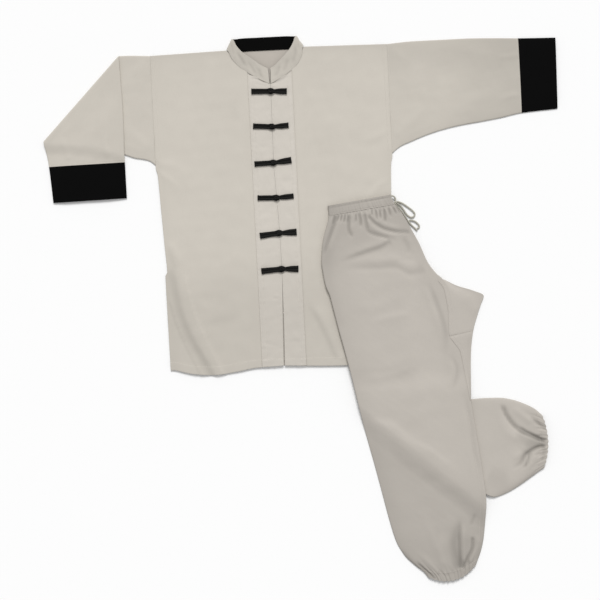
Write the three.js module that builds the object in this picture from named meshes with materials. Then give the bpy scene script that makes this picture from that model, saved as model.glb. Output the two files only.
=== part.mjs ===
// A tai chi uniform laid flat on a surface: a frog-buttoned jacket with one sleeve folded over, and a
// pair of elasticated trousers folded in half beside it, with the lower leg turned out to the side.
// Millimetres, +Z up, with Z 0 on the surface. +Y points from the hem of the jacket to its collar.

import * as THREE from 'three';
import { mergeVertices } from 'three/addons/utils/BufferGeometryUtils.js';

// Cloth and how its layers lie
const CLOTH = 1.4; // one wall of cloth with its seam allowance
const GAP = 0.3; // between two pieces at a seam
const PAIR = 2 * CLOTH + GAP; // two walls lying on each other
const LAYER_GAP = 1.5; // between two tubes that lie on each other
const PUFF = 2.4; // air between the walls in the middle of a sleeve or leg
const FOLD_RADIUS = 0.6; // inside radius of a folded tube
const FOLDED_PAIR = PAIR + 0.5; // two walls with a little air, where a tube is folded or hidden
const EDGE_ROUND = 3; // how far in from a folded edge the wall is full height

// Where each garment lies: its own origin in the row, and how far it is turned
const JACKET = { x: -80.23, y: 564.58, turn: 2.9 }; // origin at the centre of the front neck seam
const TROUSERS = { x: 144.47, y: 270.88, turn: 12.82 }; // origin at the middle of the waist

// Jacket, from its front neck seam, with x across and y up
const ARMHOLE_X = 296;
const SHOULDER = { neckX: 94, neckY: 87, armY: 83 };
const NECK_LEAN = -9; // the collar lies a little to the right sleeve's side of the middle
const BAND = 55; // width of each front band
const FRONT_LOFT = 1.2; // how far the fronts stand off the back
const VENT_OPEN = 3; // gap between the fronts below the last frog
const BACK_INSET = 1; // the back panel's edge inside the front's
const BACK_NECK_Y = 83.5;
const SLEEVE_SEAM = 328; // from armhole to cuff seam
const CUFF_END = { top: 419, under: 424 };

// Trousers, with v across and s down from the waist
const BAND_WALL = 2.8; // casing of the waistband
const GATHERS = 14; // gathers under the waistband on one side
const GATHER_HEIGHT = 1.6;
const HEM_SCALLOPS = 11;
const HEM_SCALLOP = 2.2;
const TURN_OUT = { s: 624.2, v: 0, direction: [0.6238, -0.7817] }; // fold of the lower leg
const TURNED_CORNER = { v: -117.3, s: 477.5 }; // where that fold meets the leg's left edge
const TURNED_SHOWS = { left: 757, right: 806 }; // where the turned-out end comes out from under the leg
const DRAPE = { from: 8, to: 62 }; // how far past an edge the cloth above comes down

// Drawstring and frogs
const CORD = 4.6; // diameter of the drawstring
const FROG = { strip: 7, height: 4.6, groove: 1.6, knotWide: 9.5, knotLong: 5.7, knotHeight: 8 };

const COLOURS = {
  jacket: 0xcbc6be,
  trousers: 0xbab3ac,
  black: 0x0e0e0f,
  frog: 0x1a1916,
  cord: 0xb9b6aa,
};

const table = (columns, rows) => {
  const names = columns.split(' ');
  return rows.map((row) => Object.fromEntries(names.map((name, i) => [name, row[i]])));
};

const sideEdge = table('y x', [
  [-704, 284], [-640, 284.5], [-467, 285.5], [-460, 280.5], [-385, 284], [-300, 288],
  [-215, 292], [-196, 296], [83, 296],
]);
const centreLine = table('y x', [
  [-706, 0], [-560, 4], [-464, 6], [-374, 5], [-285, 2], [-197, -1], [-107, 0], [0, 1],
]);
const neckLine = table('x y', [
  [0, -2], [28, 12.5], [55, 30.5], [74, 47], [89, 70], [94, 87],
]);
const hemRight = table('x y', [[0, -706], [70, -708], [120, -715], [180, -721], [235, -716], [284, -704]]);
const hemLeft = table('x y', [[0, -706], [160, -713], [284, -708]]);
const sleeveEdge = table('along top under', [
  [0, 83, -190], [12, 84, -176], [25, 85, -169], [50, 86.5, -163], [78, 87, -151], [107, 87, -141],
  [160, 87, -127], [190, 87, -124], [275, 84, -114], [328, 81, -104], [424, 78, -99],
]);

// Soft folds of the jacket: a ridge from one place to another, with its width and height
const jacketFolds = table('x1 y1 x2 y2 width height', [
  [-277, -440, -262, -530, 12, 2.2],
  [-262, -530, -228, -620, 16, 3.6],
  [-228, -620, -185, -712, 18, 4],
  [-277, -376, -250, -425, 10, 1.8],
  [-245, -560, -205, -640, 14, -0.8],
  [70, -560, 140, -700, 14, 2],
  [230, -282, 272, -244, 10, 1.6],
  [-240, -205, -284, -190, 10, 1.4],
  [-200, -512, -120, -462, 16, 1.2],
  [-150, -440, -98, -408, 12, 1],
]);
const sleeveFolds = table('x1 y1 x2 y2 width height', [
  [20, 70, 46, 42, 8, 1.2],
  [180, 60, 300, 20, 16, 1],
  [30, -150, 110, -60, 18, 1.2],
]);

// Edges of a leg: how far its left and right edges lie from the middle, along its length
const legEdge = table('s left right', [
  [0, -82, 82], [20, -85, 84.5], [45, -97, 92], [75, -112, 103], [105, -122, 110], [136, -129, 120],
  [185, -131, 130], [219, -126, 145], [238, -125.5, 158], [299, -123.5, 163], [376, -120, 163],
  [424, -118.5, 162], [545, -117.5, 158], [735, -111, 147], [790, -109, 142], [846, -105, 128],
  [888, -92, 115], [917, -72, 102], [944, -50, 85], [980, -40, 60],
]);
// Sections of the upper leg, by where each meets the left and the right edge
const legSections = table('left right columns under', [
  [30.3, 44.3, 42, 7], [44, 56, 42, 7], [62, 70, 42, 7], [86, 88, 15, 7], [112, 112, 13, 7],
  [140, 140, 13, 7], [175, 175, 13, 7], [215, 215, 13, 7], [255, 262, 13, 7], [300, 315, 13, 7],
  [345, 375, 13, 7], [388, 435, 13, 7], [420, 480, 13, 7], [450, 520, 13, 7], [466, 550, 13, 7],
]);
// Sections of the near leg below that, fanned along the fold of the leg under it
const nearSections = table('left right columns under bulge', [
  [474, 620, 13, 7, 0], [481, 700, 13, 7, 0], [488, 770, 13, 7, 0], [496, 808, 13, 7, 0],
  [510, 822, 13, 7, 0], [528, 834, 13, 7, 0], [550, 845, 13, 7, 0], [580, 855, 13, 7, 0],
  [620, 864, 13, 6, 0], [670, 874, 13, 5, 0], [725, 884, 13, 4, 0], [780, 895, 13, 4, 2],
  [830, 908, 15, 4, 6], [875, 922, 36, 4, 12], [908, 936, 36, 4, 20], [928, 945, 36, 4, 26],
  [944, 956, 36, 4, 30],
]);
// Sections of the far leg's turned-out end, from its fold to its hem
const turnedSections = table('left right columns under bulge', [
  [560, 824, 5, 7, 0], [640, 829, 5, 7, 0], [712, 834, 5, 9, 0], [745, 838, 5, 11, 0],
  [765, 843, 5, 13, 0], [785, 849, 5, 13, 2], [806, 857, 5, 13, 4], [832, 868, 5, 13, 6],
  [862, 884, 5, 15, 10], [890, 904, 5, 36, 15], [914, 924, 5, 36, 22], [930, 940, 5, 36, 27],
  [944, 956, 5, 36, 30],
]);
const trouserFolds = table('x1 y1 x2 y2 width height', [
  [5, -44, 58, -94, 8, 2.6],
  [58, -94, 108, -110, 8, 2.2],
  [-37, -40, -46, -72, 7, 2],
  [-46, -72, -30, -88, 7, 1.6],
  [-74, -40, -118, -104, 9, 2.4],
  [50, -112, -36, -136, 11, 3],
  [-36, -136, -94, -134, 11, 1.8],
  [64, -182, 78, -206, 8, 2],
  [78, -206, 126, -203, 8, 2],
  [104, -240, 127, -300, 9, 2],
  [127, -300, 136, -372, 9, 2],
  [130, -436, 142, -510, 10, 2.2],
  [142, -530, 138, -720, 12, 1.8],
  [37, -850, 45, -930, 9, 3],
  [85, -888, 36, -946, 9, 2.8],
  [-30, -900, -10, -955, 10, 1.6],
]);
const turnedFolds = table('x1 y1 x2 y2 width height', [
  [-108, -846, -17, -938, 9, 3.4],
  [38, -903, 0, -941, 8, 2.6],
  [75, -803, 55, -903, 14, 2],
  [-70, -900, -40, -940, 7, 1.8],
]);
const gussetEdge = table('s out', [
  [238, 161], [259, 187], [284, 230], [299, 248.6], [317, 238], [344, 222], [376, 205], [424, 188], [545, 160],
]);

// Six frogs, by the middle of their outer ends and knot
const frogs = table('leftX leftY rightX rightY knotX knotY', [
  [-49.2, -17.8, 41.5, -21.4, 1.7, -20.4],
  [-47.3, -103.5, 40.5, -105.2, 0.3, -107.4],
  [-47.3, -197.6, 43, -193.2, -1, -197.5],
  [-45.2, -283.6, 42.7, -283.3, 2.1, -285.2],
  [-44.2, -377.5, 45.9, -373.1, 4.6, -373.7],
  [-44.9, -466.8, 47, -465.2, 6.2, -464.7],
]);

// Stations of the collar, from the centre front round the back: its lower edge on the neck seam and
// its upper edge, each with its height, and how far it has rolled over at the side
const collarHalf = table('seamX seamY seamZ edgeX edgeY edgeZ roll', [
  [2.5, 0.2, 4, 3.5, 37, 5.4, 0],
  [16, 7.6, 3.9, 16, 44, 6.4, 0],
  [34, 17.4, 3.8, 30, 55, 7.6, 0],
  [53, 30.4, 3.8, 44, 67, 8.4, 0],
  [72.5, 47, 4, 59, 81, 8.6, 0],
  [87.4, 69.4, 4.8, 71, 98, 8.6, 0],
  [91.8, 85.4, 5.6, 76.5, 111, 8.6, 0],
  [94.2, 88.4, 5.2, 79, 113.6, 7.2, 50],
  [95, 89.2, 4, 80, 114.6, 5.1, 90],
  [94.2, 89, 2.8, 79, 114.4, 3, 130],
  [91.5, 87.4, 1.8, 76.5, 114, 1.8, 180],
  [60, 84.6, 1.8, 50, 115.4, 1.8, 180],
]);

const lerp = THREE.MathUtils.lerp;
const smooth = THREE.MathUtils.smoothstep;
const degrees = THREE.MathUtils.degToRad;

// Value of one column of a table where another column reads `at`, in straight steps between rows.
function read(rows, key, column, at) {
  let i = 1;
  while (i < rows.length - 1 && at > rows[i][key]) i += 1;
  const [a, b] = [rows[i - 1], rows[i]];
  const share = THREE.MathUtils.clamp((at - a[key]) / (b[key] - a[key]), 0, 1);
  return lerp(a[column], b[column], share);
}

// Height of the soft folds at a place: the highest ridge there, less the troughs.
function folds(rows, x, y) {
  let [ridge, trough] = [0, 0];
  for (const fold of rows) {
    const [dx, dy] = [fold.x2 - fold.x1, fold.y2 - fold.y1];
    const length = Math.hypot(dx, dy);
    const along = ((x - fold.x1) * dx + (y - fold.y1) * dy) / length;
    const past = Math.max(-along, along - length, 0);
    const across = ((x - fold.x1) * dy - (y - fold.y1) * dx) / length;
    const height = fold.height * Math.exp(-((across ** 2 + past ** 2) / fold.width ** 2));
    ridge = Math.max(ridge, height);
    trough = Math.min(trough, height);
  }
  return ridge + trough;
}

// A closed mesh from points and triangles, turned so that its faces point out.
function solid(points, faces) {
  let volume = 0;
  for (const [a, b, c] of faces) volume += points[a].dot(points[b].clone().cross(points[c]));
  const geometry = new THREE.BufferGeometry();
  geometry.setAttribute('position', new THREE.Float32BufferAttribute(points.flatMap((p) => p.toArray()), 3));
  geometry.setIndex(faces.flatMap(([a, b, c]) => (volume > 0 ? [a, b, c] : [a, c, b])));
  geometry.computeVertexNormals();
  return geometry;
}

// A wall over a grid of places: at(i, j) gives x, y, low and high.
function panel(rows, columns, at) {
  const points = [];
  for (let i = 0; i < rows; i += 1) {
    for (let j = 0; j < columns; j += 1) {
      const { x, y, low, high } = at(i, j);
      points.push(new THREE.Vector3(x, y, low), new THREE.Vector3(x, y, high));
    }
  }
  const id = (i, j, top) => (i * columns + j) * 2 + top;
  const faces = [];
  for (let i = 0; i < rows - 1; i += 1) {
    for (let j = 0; j < columns - 1; j += 1) {
      const cell = [[i, j], [i, j + 1], [i + 1, j + 1], [i + 1, j]];
      const [a, b, c, d] = cell.map(([r, q]) => id(r, q, 1));
      const [e, f, g, h] = cell.map(([r, q]) => id(r, q, 0));
      faces.push([a, b, c], [a, c, d], [e, g, f], [e, h, g]);
    }
  }
  const rim = [];
  for (let j = 0; j < columns - 1; j += 1) rim.push([0, j]);
  for (let i = 0; i < rows - 1; i += 1) rim.push([i, columns - 1]);
  for (let j = columns - 1; j > 0; j -= 1) rim.push([rows - 1, j]);
  for (let i = rows - 1; i > 0; i -= 1) rim.push([i, 0]);
  rim.forEach(([i, j], k) => {
    const [p, q] = rim[(k + 1) % rim.length];
    faces.push([id(p, q, 1), id(i, j, 1), id(i, j, 0)], [id(p, q, 1), id(i, j, 0), id(p, q, 0)]);
  });
  return solid(points, faces);
}

// Triangles between two loops of points, whose marks from 0 to 1 say where each lies round the loop.
function stitch(a, b, faces) {
  const next = (loop, i) => (i + 1 < loop.length ? loop[i + 1].mark : 1);
  let [i, j] = [0, 0];
  while (i < a.length || j < b.length) {
    const [from, to] = [a[i % a.length].id, b[j % b.length].id];
    if (i < a.length && (j >= b.length || next(a, i) <= next(b, j))) {
      i += 1;
      faces.push([from, a[i % a.length].id, to]);
    } else {
      j += 1;
      faces.push([from, b[j % b.length].id, to]);
    }
  }
}

// A wall round a hollow: each ring has an outer and an inner loop of {point, mark}.
function tube(rings) {
  const points = [];
  const number = (loop) => loop.map(({ point, mark }) => ({ id: points.push(point) - 1, mark }));
  const loops = rings.map(({ outer, inner }) => ({ outer: number(outer), inner: number(inner) }));
  const faces = [];
  loops.slice(1).forEach((ring, k) => {
    stitch(loops[k].outer, ring.outer, faces);
    stitch(ring.inner, loops[k].inner, faces);
  });
  const cap = (outer, inner) => outer.forEach((at, i) => {
    const after = (i + 1) % outer.length;
    faces.push([at.id, inner[i].id, outer[after].id], [outer[after].id, inner[i].id, inner[after].id]);
  });
  cap(loops[0].outer, loops[0].inner);
  cap(loops.at(-1).inner, loops.at(-1).outer);
  return solid(points, faces);
}

// One ring of a tube that lies flat. place(w) gives the ground point from its left edge, w 0, to its
// right edge, w 1; heights(x, y, w) gives the low and high surface there.
function flatRing(place, heights, columns, underColumns, wall = CLOTH, bend = (p) => p) {
  const [first, last] = [place(0), place(1)];
  const width = first.distanceTo(last);
  const inset = EDGE_ROUND / width;
  const spread = (count) => Array.from({ length: count }, (_, i) => lerp(inset, 1 - inset, i / (count - 1)));
  const outer = [];
  const inner = [];
  const put = (w, share, mark, dw, dz) => {
    const at = place(w);
    const { low, high } = heights(at.x, at.y, w);
    outer.push({ point: bend(new THREE.Vector3(at.x, at.y, lerp(low, high, share))), mark });
    const inside = place(w + dw);
    inner.push({ point: bend(new THREE.Vector3(inside.x, inside.y, lerp(low, high, share) + dz)), mark });
  };
  put(0, 0.5, 0, wall / width, 0);
  for (const w of spread(columns)) put(w, 1, 0.01 + 0.48 * w, 0, -wall);
  put(1, 0.5, 0.5, -wall / width, 0);
  for (const w of spread(underColumns).reverse()) put(w, 0, 0.99 - 0.48 * w, 0, wall);
  return { outer, inner };
}

// A solid bar through loops of points, closed at both ends.
function bar(loops) {
  const points = loops.flat();
  const size = loops[0].length;
  const faces = [];
  for (let k = 0; k < loops.length - 1; k += 1) {
    for (let i = 0; i < size; i += 1) {
      const [a, b] = [k * size + i, k * size + ((i + 1) % size)];
      faces.push([a, b, b + size], [a, b + size, a + size]);
    }
  }
  const end = points.length - size;
  for (let i = 1; i < size - 1; i += 1) faces.push([0, i + 1, i], [end, end + i, end + i + 1]);
  return solid(points, faces);
}

// The fold map of a tube that is folded over along a line: past the line the cloth rolls round it
// and lies back on itself, upside down.
function foldOver(line, thickness) {
  const axis = thickness + FOLD_RADIUS;
  const roll = Math.PI * (axis - thickness / 2);
  const past = (x, y) => (x - line.x) * line.normal[0] + (y - line.y) * line.normal[1];
  const map = (p) => {
    const distance = past(p.x, p.y);
    if (distance <= 0) return p;
    const radius = axis - p.z;
    const turn = Math.min((distance / roll) * Math.PI, Math.PI);
    const out = radius * Math.sin(turn) - Math.max(distance - roll, 0) - distance;
    return new THREE.Vector3(
      p.x + out * line.normal[0],
      p.y + out * line.normal[1],
      axis - radius * Math.cos(turn),
    );
  };
  return { map, roll, past, top: 2 * axis };
}

const group = new THREE.Group();
const jacket = new THREE.Group();
jacket.position.set(JACKET.x, JACKET.y, 0);
jacket.rotation.z = degrees(JACKET.turn);
const trousers = new THREE.Group();
trousers.position.set(TROUSERS.x, TROUSERS.y, 0);
trousers.rotation.z = degrees(TROUSERS.turn);
group.add(jacket, trousers);
group.updateMatrixWorld(true);

function add(parent, name, geometry, color, roughness = 0.9) {
  const mesh = new THREE.Mesh(geometry, new THREE.MeshStandardMaterial({ color, roughness, metalness: 0 }));
  mesh.name = name;
  parent.add(mesh);
}

// Jacket panels

// How far the front stands off its place on the back: flat under the bands, down at its seams.
function frontRise(x, y) {
  const side = read(sideEdge, 'y', 'x', y);
  const inside = smooth(side - Math.abs(x), 2, 45) * smooth(SHOULDER.armY - y, 0, 40);
  const clear = smooth(Math.abs(x), BAND + 4, BAND + 26) * smooth(side - Math.abs(x), 0, 14);
  const rise = Math.max(FRONT_LOFT * inside + folds(jacketFolds, x, y) * clear, 0);
  return lerp(FRONT_LOFT, rise, smooth(Math.abs(x), BAND + 2, BAND + 30));
}

const acrossBand = [0, 0.33, 0.67, 1];
const acrossFront = [0.079, 0.141, 0.162, 0.3, 0.42, 0.55, 0.68, 0.8, 0.88, 0.95, 1];
const upFront = [0, 0.06, 0.13, 0.21, 0.3, 0.311, 0.4, 0.47, 0.55, 0.62, 0.645, 0.75, 0.87, 0.95, 1];

function topEdge(x) {
  if (x <= SHOULDER.neckX) return read(neckLine, 'x', 'y', x);
  const share = (x - SHOULDER.neckX) / (ARMHOLE_X - SHOULDER.neckX);
  return lerp(SHOULDER.neckY, SHOULDER.armY, share);
}

// How far the cloth round the neck is pushed to one side.
function neckLean(x, y) {
  return NECK_LEAN * smooth(y, 20, 105) * (1 - smooth(Math.abs(x), 110, 280));
}

// Ground point of a front panel: across it by a share of the band or of the rest, and up it by a share.
function frontPlace(side, hem, share, onBand, up) {
  const wide = onBand ? BAND * share : lerp(BAND, ARMHOLE_X, share);
  const y = lerp(read(hem, 'x', 'y', wide), topEdge(wide), up);
  const open = lerp(GAP, VENT_OPEN, smooth(-y, 480, 620)) / 2;
  const centre = read(centreLine, 'y', 'x', y) * side + open;
  const out = read(sideEdge, 'y', 'x', y) - GAP / 2;
  const x = side * (onBand ? lerp(centre, BAND, share) : lerp(BAND, out, share));
  return { x: x + neckLean(x, y), y };
}

function makeFront(name, side, hem) {
  const columns = [...acrossBand.map((s) => [s, true]), ...acrossFront.map((s) => [s, false])];
  add(jacket, `jacket_${name}`, panel(upFront.length, columns.length, (i, j) => {
    const place = frontPlace(side, hem, columns[j][0], columns[j][1], upFront[i]);
    const low = CLOTH + GAP + frontRise(place.x, place.y);
    return { ...place, low, high: low + CLOTH };
  }), COLOURS.jacket);
  add(jacket, `band_${name}`, panel(upFront.length, acrossBand.length, (i, j) => {
    const place = frontPlace(side, hem, acrossBand[j], true, upFront[i]);
    const low = PAIR + FRONT_LOFT + GAP;
    return { ...place, low, high: low + CLOTH };
  }), COLOURS.jacket);
}
makeFront('front_right', -1, hemRight);
makeFront('front_left', 1, hemLeft);

const acrossBack = [-1, -0.75, -0.52, -0.352, -0.18, 0, 0.18, 0.352, 0.52, 0.75, 1];
const upBack = [0, 0.15, 0.301, 0.31, 0.42, 0.53, 0.62, 0.645, 0.76, 0.88, 1];
add(jacket, 'jacket_back', panel(upBack.length, acrossBack.length, (i, j) => {
  const wide = Math.abs(acrossBack[j]) * ARMHOLE_X;
  const hem = read(acrossBack[j] < 0 ? hemRight : hemLeft, 'x', 'y', wide) + BACK_INSET;
  const top = wide < SHOULDER.neckX ? BACK_NECK_Y : topEdge(wide) - BACK_INSET;
  const y = lerp(hem, top, upBack[i]);
  const x = acrossBack[j] * (read(sideEdge, 'y', 'x', y) - BACK_INSET);
  return { x: x + neckLean(x, y), y, low: 0, high: CLOTH };
}), COLOURS.jacket);

// Sleeves and cuffs

// How much of the puff shows across a flat tube, from none at its edges to all in the middle.
const crown = (w) => 1 - (2 * w - 1) ** 4;

function sleevePlace(side, top, under) {
  return (w) => new THREE.Vector2(
    side * (ARMHOLE_X + GAP + lerp(top, under, w)),
    lerp(read(sleeveEdge, 'along', 'top', top), read(sleeveEdge, 'along', 'under', under), w),
  );
}

const straightSections = [0, 12, 25, 50, 78, 107, 160, 190, 235, 275, 305, SLEEVE_SEAM];
const straightHeights = (x, y, w) => {
  const along = x - ARMHOLE_X;
  const puff = PUFF * crown(w) * smooth(along, 0, 60);
  return { low: 0, high: PAIR + Math.max(puff + folds(sleeveFolds, along, y) * crown(w), 0) };
};
add(jacket, 'sleeve_left', tube(straightSections.map((along) => (
  flatRing(sleevePlace(1, along, along), straightHeights, 9, 3)))), COLOURS.jacket);
add(jacket, 'cuff_left', tube([0, 0.5, 1].map((share) => flatRing(
  sleevePlace(1, lerp(SLEEVE_SEAM + GAP, CUFF_END.top, share), lerp(SLEEVE_SEAM + GAP, CUFF_END.under, share)),
  straightHeights, 9, 3,
))), COLOURS.black);

// The right sleeve is folded over along a slanting line, and its end hangs down over the sleeve's own
// lower edge to the surface.
const sleeveFold = foldOver({ x: -374, y: 84, normal: [-0.718, 0.696] }, FOLDED_PAIR);
const sleeveDrop = sleeveFold.top - FOLDED_PAIR;
function foldedSleevePoint(p) {
  const at = sleeveFold.map(p);
  if (sleeveFold.past(p.x, p.y) <= sleeveFold.roll) return at;
  const below = read(sleeveEdge, 'along', 'under', -at.x - ARMHOLE_X) - at.y;
  at.z -= sleeveDrop * smooth(below, 2, 34);
  return at;
}
const foldedHeights = (x, y, w) => {
  const past = sleeveFold.past(x, y);
  const puff = PUFF * crown(w) * smooth(past, 40, 90);
  const rise = folds(sleeveFolds, -x - ARMHOLE_X, y) * crown(w) * smooth(-past, 10, 40);
  return { low: -puff, high: FOLDED_PAIR + Math.max(rise, 0) };
};
// Where the fold line, moved out by a distance, crosses the top and the under edge of the sleeve
const foldAt = (distance) => {
  const along = (edge) => {
    let at = 100;
    for (let i = 0; i < 30; i += 1) {
      const y = read(sleeveEdge, 'along', edge, at);
      at += (distance - sleeveFold.past(-ARMHOLE_X - at, y)) * 0.9;
    }
    return at;
  };
  return [along('top'), along('under')];
};
const rollSteps = [-4, 0, 0.25, 0.5, 0.75, 1];
const foldedSections = [
  [0, 0, 9, 3], [8, 14, 9, 3], [18, 32, 9, 3], [30, 70, 9, 3], [42, 120, 9, 3], [54, 175, 9, 3], [66, 230, 7, 3],
  ...rollSteps.map((step) => [...foldAt(step < 0 ? step : step * sleeveFold.roll), 6, 6]),
  [120, 290, 4, 9], [160, 293, 4, 9], [200, 296, 4, 9], [228, 299, 4, 9], [246, 302, 4, 9], [262, 306, 4, 9],
  [280, 311, 4, 9], [304, 319, 4, 9], [SLEEVE_SEAM, SLEEVE_SEAM, 4, 9],
];
add(jacket, 'sleeve_right', tube(foldedSections.map(([top, under, columns, underColumns]) => (
  flatRing(sleevePlace(-1, top, under), foldedHeights, columns, underColumns, CLOTH, foldedSleevePoint)))),
COLOURS.jacket);
add(jacket, 'cuff_right', tube([0, 0.5, 1].map((share) => flatRing(
  sleevePlace(-1, lerp(SLEEVE_SEAM + GAP, CUFF_END.top, share), lerp(SLEEVE_SEAM + GAP, CUFF_END.under, share)),
  foldedHeights, 4, 9, CLOTH, foldedSleevePoint,
))), COLOURS.black);

// Collar: one standing strip round the neck, white outside and black inside, lying flat with its
// front halves over its back

function collarLayer(inside, outside) {
  const half = (side) => collarHalf.map((row) => {
    const roll = degrees(row.roll);
    const normal = new THREE.Vector3(side * Math.sin(roll), 0.35 * Math.sin(roll), Math.cos(roll)).normalize();
    const leant = (x, y, z) => new THREE.Vector3(side * x + neckLean(side * x, y), y, z);
    const seam = leant(row.seamX, row.seamY, row.seamZ);
    const edge = leant(row.edgeX, row.edgeY, row.edgeZ);
    const line = [0, 0.5, 1].map((share) => seam.clone().lerp(edge, share));
    const away = (offset) => line.map((p) => p.clone().addScaledVector(normal, offset));
    return [...away(inside), ...away(outside).reverse()];
  });
  return bar([...half(-1), ...half(1).reverse()]);
}
add(jacket, 'collar_outer', collarLayer(GAP, GAP + CLOTH), COLOURS.jacket);
add(jacket, 'collar_lining', collarLayer(-GAP - CLOTH, -GAP), COLOURS.black);

// Frogs: two cords side by side, sewn flat on each band, with a knot on one half that goes through
// the loop of the other

const frogBase = PAIR + FRONT_LOFT + GAP + CLOTH + GAP;
const stripRows = table('share wide high', [
  [0, 0.88, 0.85], [0.06, 1, 1], [0.6, 0.95, 1], [0.85, 0.7, 0.95], [1, 0.55, 0.85],
]);
function frogLoop(from, to, at, wide, high, groove) {
  const along = new THREE.Vector2().subVectors(to, from).normalize();
  const profile = [[-1, 0], [-1, 0.6], [-0.6, 1], [0, 1 - groove], [0.6, 1], [1, 0.6], [1, 0], [0, 0]];
  return profile.map(([across, up]) => new THREE.Vector3(
    from.x + along.x * at - along.y * across * wide,
    from.y + along.y * at + along.x * across * wide,
    frogBase + up * high,
  ));
}
function frogHalf(name, end, knot, withKnot) {
  const whole = end.distanceTo(knot);
  const length = whole - FROG.knotLong - GAP;
  const groove = FROG.groove / FROG.height;
  const loops = stripRows.map((row) => (
    frogLoop(end, knot, row.share * length, row.wide * FROG.strip, row.high * FROG.height, groove)));
  if (withKnot) {
    for (let i = 0; i <= 6; i += 1) {
      const turn = lerp(0.25, 0.94 * Math.PI, i / 6);
      const [wide, high] = [Math.sin(turn), lerp(0.35, 1, Math.sin(turn))];
      const at = whole - Math.cos(turn) * FROG.knotLong;
      loops.push(frogLoop(end, knot, at, wide * FROG.knotWide, high * FROG.knotHeight, 0));
    }
  }
  add(jacket, name, bar(loops), COLOURS.frog, 0.7);
}
frogs.forEach((row, i) => {
  const knot = new THREE.Vector2(row.knotX, row.knotY);
  frogHalf(`frog_${i + 1}_loop`, new THREE.Vector2(row.leftX, row.leftY), knot, false);
  frogHalf(`frog_${i + 1}_button`, new THREE.Vector2(row.rightX, row.rightY), knot, true);
});

// Trousers

// How high the jacket holds whatever lies on it, coming down past its edges.
function overJacket(x, y) {
  const place = jacket.worldToLocal(trousers.localToWorld(new THREE.Vector3(x, y, 0)));
  const out = place.x - read(sideEdge, 'y', 'x', place.y);
  const below = read(hemLeft, 'x', 'y', place.x) - place.y;
  const away = out > 0 && below > 0 ? Math.hypot(out, below) : Math.max(out, below);
  return (PAIR + FRONT_LOFT + 1.3) * (1 - smooth(away, DRAPE.from, DRAPE.to));
}

const turnOut = foldOver(
  { x: TURN_OUT.v, y: -TURN_OUT.s, normal: [TURN_OUT.direction[1], -TURN_OUT.direction[0]] },
  FOLDED_PAIR,
);

// Ground point of a leg: its sections run from a place on the left edge to one on the right edge.
function legPlace({ left, right, bulge = 0 }) {
  const [x1, x2] = [read(legEdge, 's', 'left', left), read(legEdge, 's', 'right', right)];
  const scallop = left > 900 ? HEM_SCALLOP * smooth(left, 925, 944) : 0;
  return (w) => {
    const down = lerp(left, right, w) + bulge * 4 * w * (1 - w)
      + scallop * (Math.abs(Math.sin(HEM_SCALLOPS * Math.PI * w)) - 0.5);
    return new THREE.Vector2(lerp(x1, x2, w), -down);
  };
}

// Waves of the cloth gathered into the waistband and into the ankle casing.
function gathers(y, w) {
  const atWaist = smooth(y, -88, -40) * Math.sin(GATHERS * 2 * Math.PI * w + 0.8 * Math.sin(9 * w));
  const atHem = smooth(-y, 905, 930) * Math.sin(HEM_SCALLOPS * 2 * Math.PI * w + 0.6 * Math.sin(11 * w));
  return GATHER_HEIGHT * (atWaist + 0.8 * atHem) * crown(w);
}

const farHeights = (x, y, w) => {
  const low = overJacket(x, y);
  const shown = smooth(-y - lerp(TURNED_SHOWS.left, TURNED_SHOWS.right, w), 5, 50);
  const puff = (PUFF * crown(w) + folds(turnedFolds, x, y) * crown(w) + gathers(y, w) * smooth(-y, 880, 900)) * shown;
  return { low: low - Math.max(puff, 0), high: low + FOLDED_PAIR };
};
const turnedDrop = turnOut.top - FOLDED_PAIR;
function farPoint(p) {
  const at = turnOut.map(p);
  if (turnOut.past(p.x, p.y) <= turnOut.roll) return at;
  const outside = at.x - read(legEdge, 's', 'right', -at.y);
  at.z -= turnedDrop * smooth(outside, 4, 44);
  return at;
}
// Where the fold of the leg, moved out by a distance, crosses its left and its right edge
function turnedAt(distance) {
  const along = (edge) => {
    let at = 600;
    for (let i = 0; i < 40; i += 1) {
      at += (distance - turnOut.past(read(legEdge, 's', edge, at), -at)) * 0.9;
    }
    return at;
  };
  return { left: along('left'), right: along('right'), columns: 7, under: 7 };
}
const farFan = [{ left: 470, right: 630 }, { left: 472, right: 700 }, { left: 473, right: 760 }];
const farSections = [
  ...legSections.map((row) => ({ ...row, columns: 7, under: 7 })),
  ...farFan.map((row) => ({ ...row, columns: 7, under: 7 })),
  ...rollSteps.map((step) => turnedAt(step < 0 ? step : step * turnOut.roll)),
  ...turnedSections,
];
add(trousers, 'leg_far', tube(farSections.map((row) => (
  flatRing(legPlace(row), farHeights, row.columns, row.under, CLOTH, farPoint)))), COLOURS.trousers);

// The near leg lies over the far leg and its turned-out end.
function nearLow(x, y) {
  const past = turnOut.past(x, y);
  const onLeg = 1 - smooth(past, DRAPE.from, DRAPE.to);
  const turn = degrees(TROUSERS.turn);
  const above = (x - TURNED_CORNER.v) * Math.sin(turn) + (y + TURNED_CORNER.s) * Math.cos(turn);
  const onTurned = onLeg * (1 - smooth(above, 2, 60));
  return overJacket(x, y) + (FOLDED_PAIR + LAYER_GAP) * onLeg + (FOLDED_PAIR + 2 * FOLD_RADIUS) * onTurned;
}
const nearHeights = (x, y, w) => {
  const low = nearLow(x, y);
  const puff = PUFF * crown(w) * smooth(-y, 30, 110) + folds(trouserFolds, x, y) * crown(w) + gathers(y, w);
  return { low, high: low + PAIR + Math.max(puff, -0.1) };
};
add(trousers, 'leg_near', tube([...legSections, ...nearSections].map((row) => (
  flatRing(legPlace(row), nearHeights, row.columns, row.under)))), COLOURS.trousers);

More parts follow.
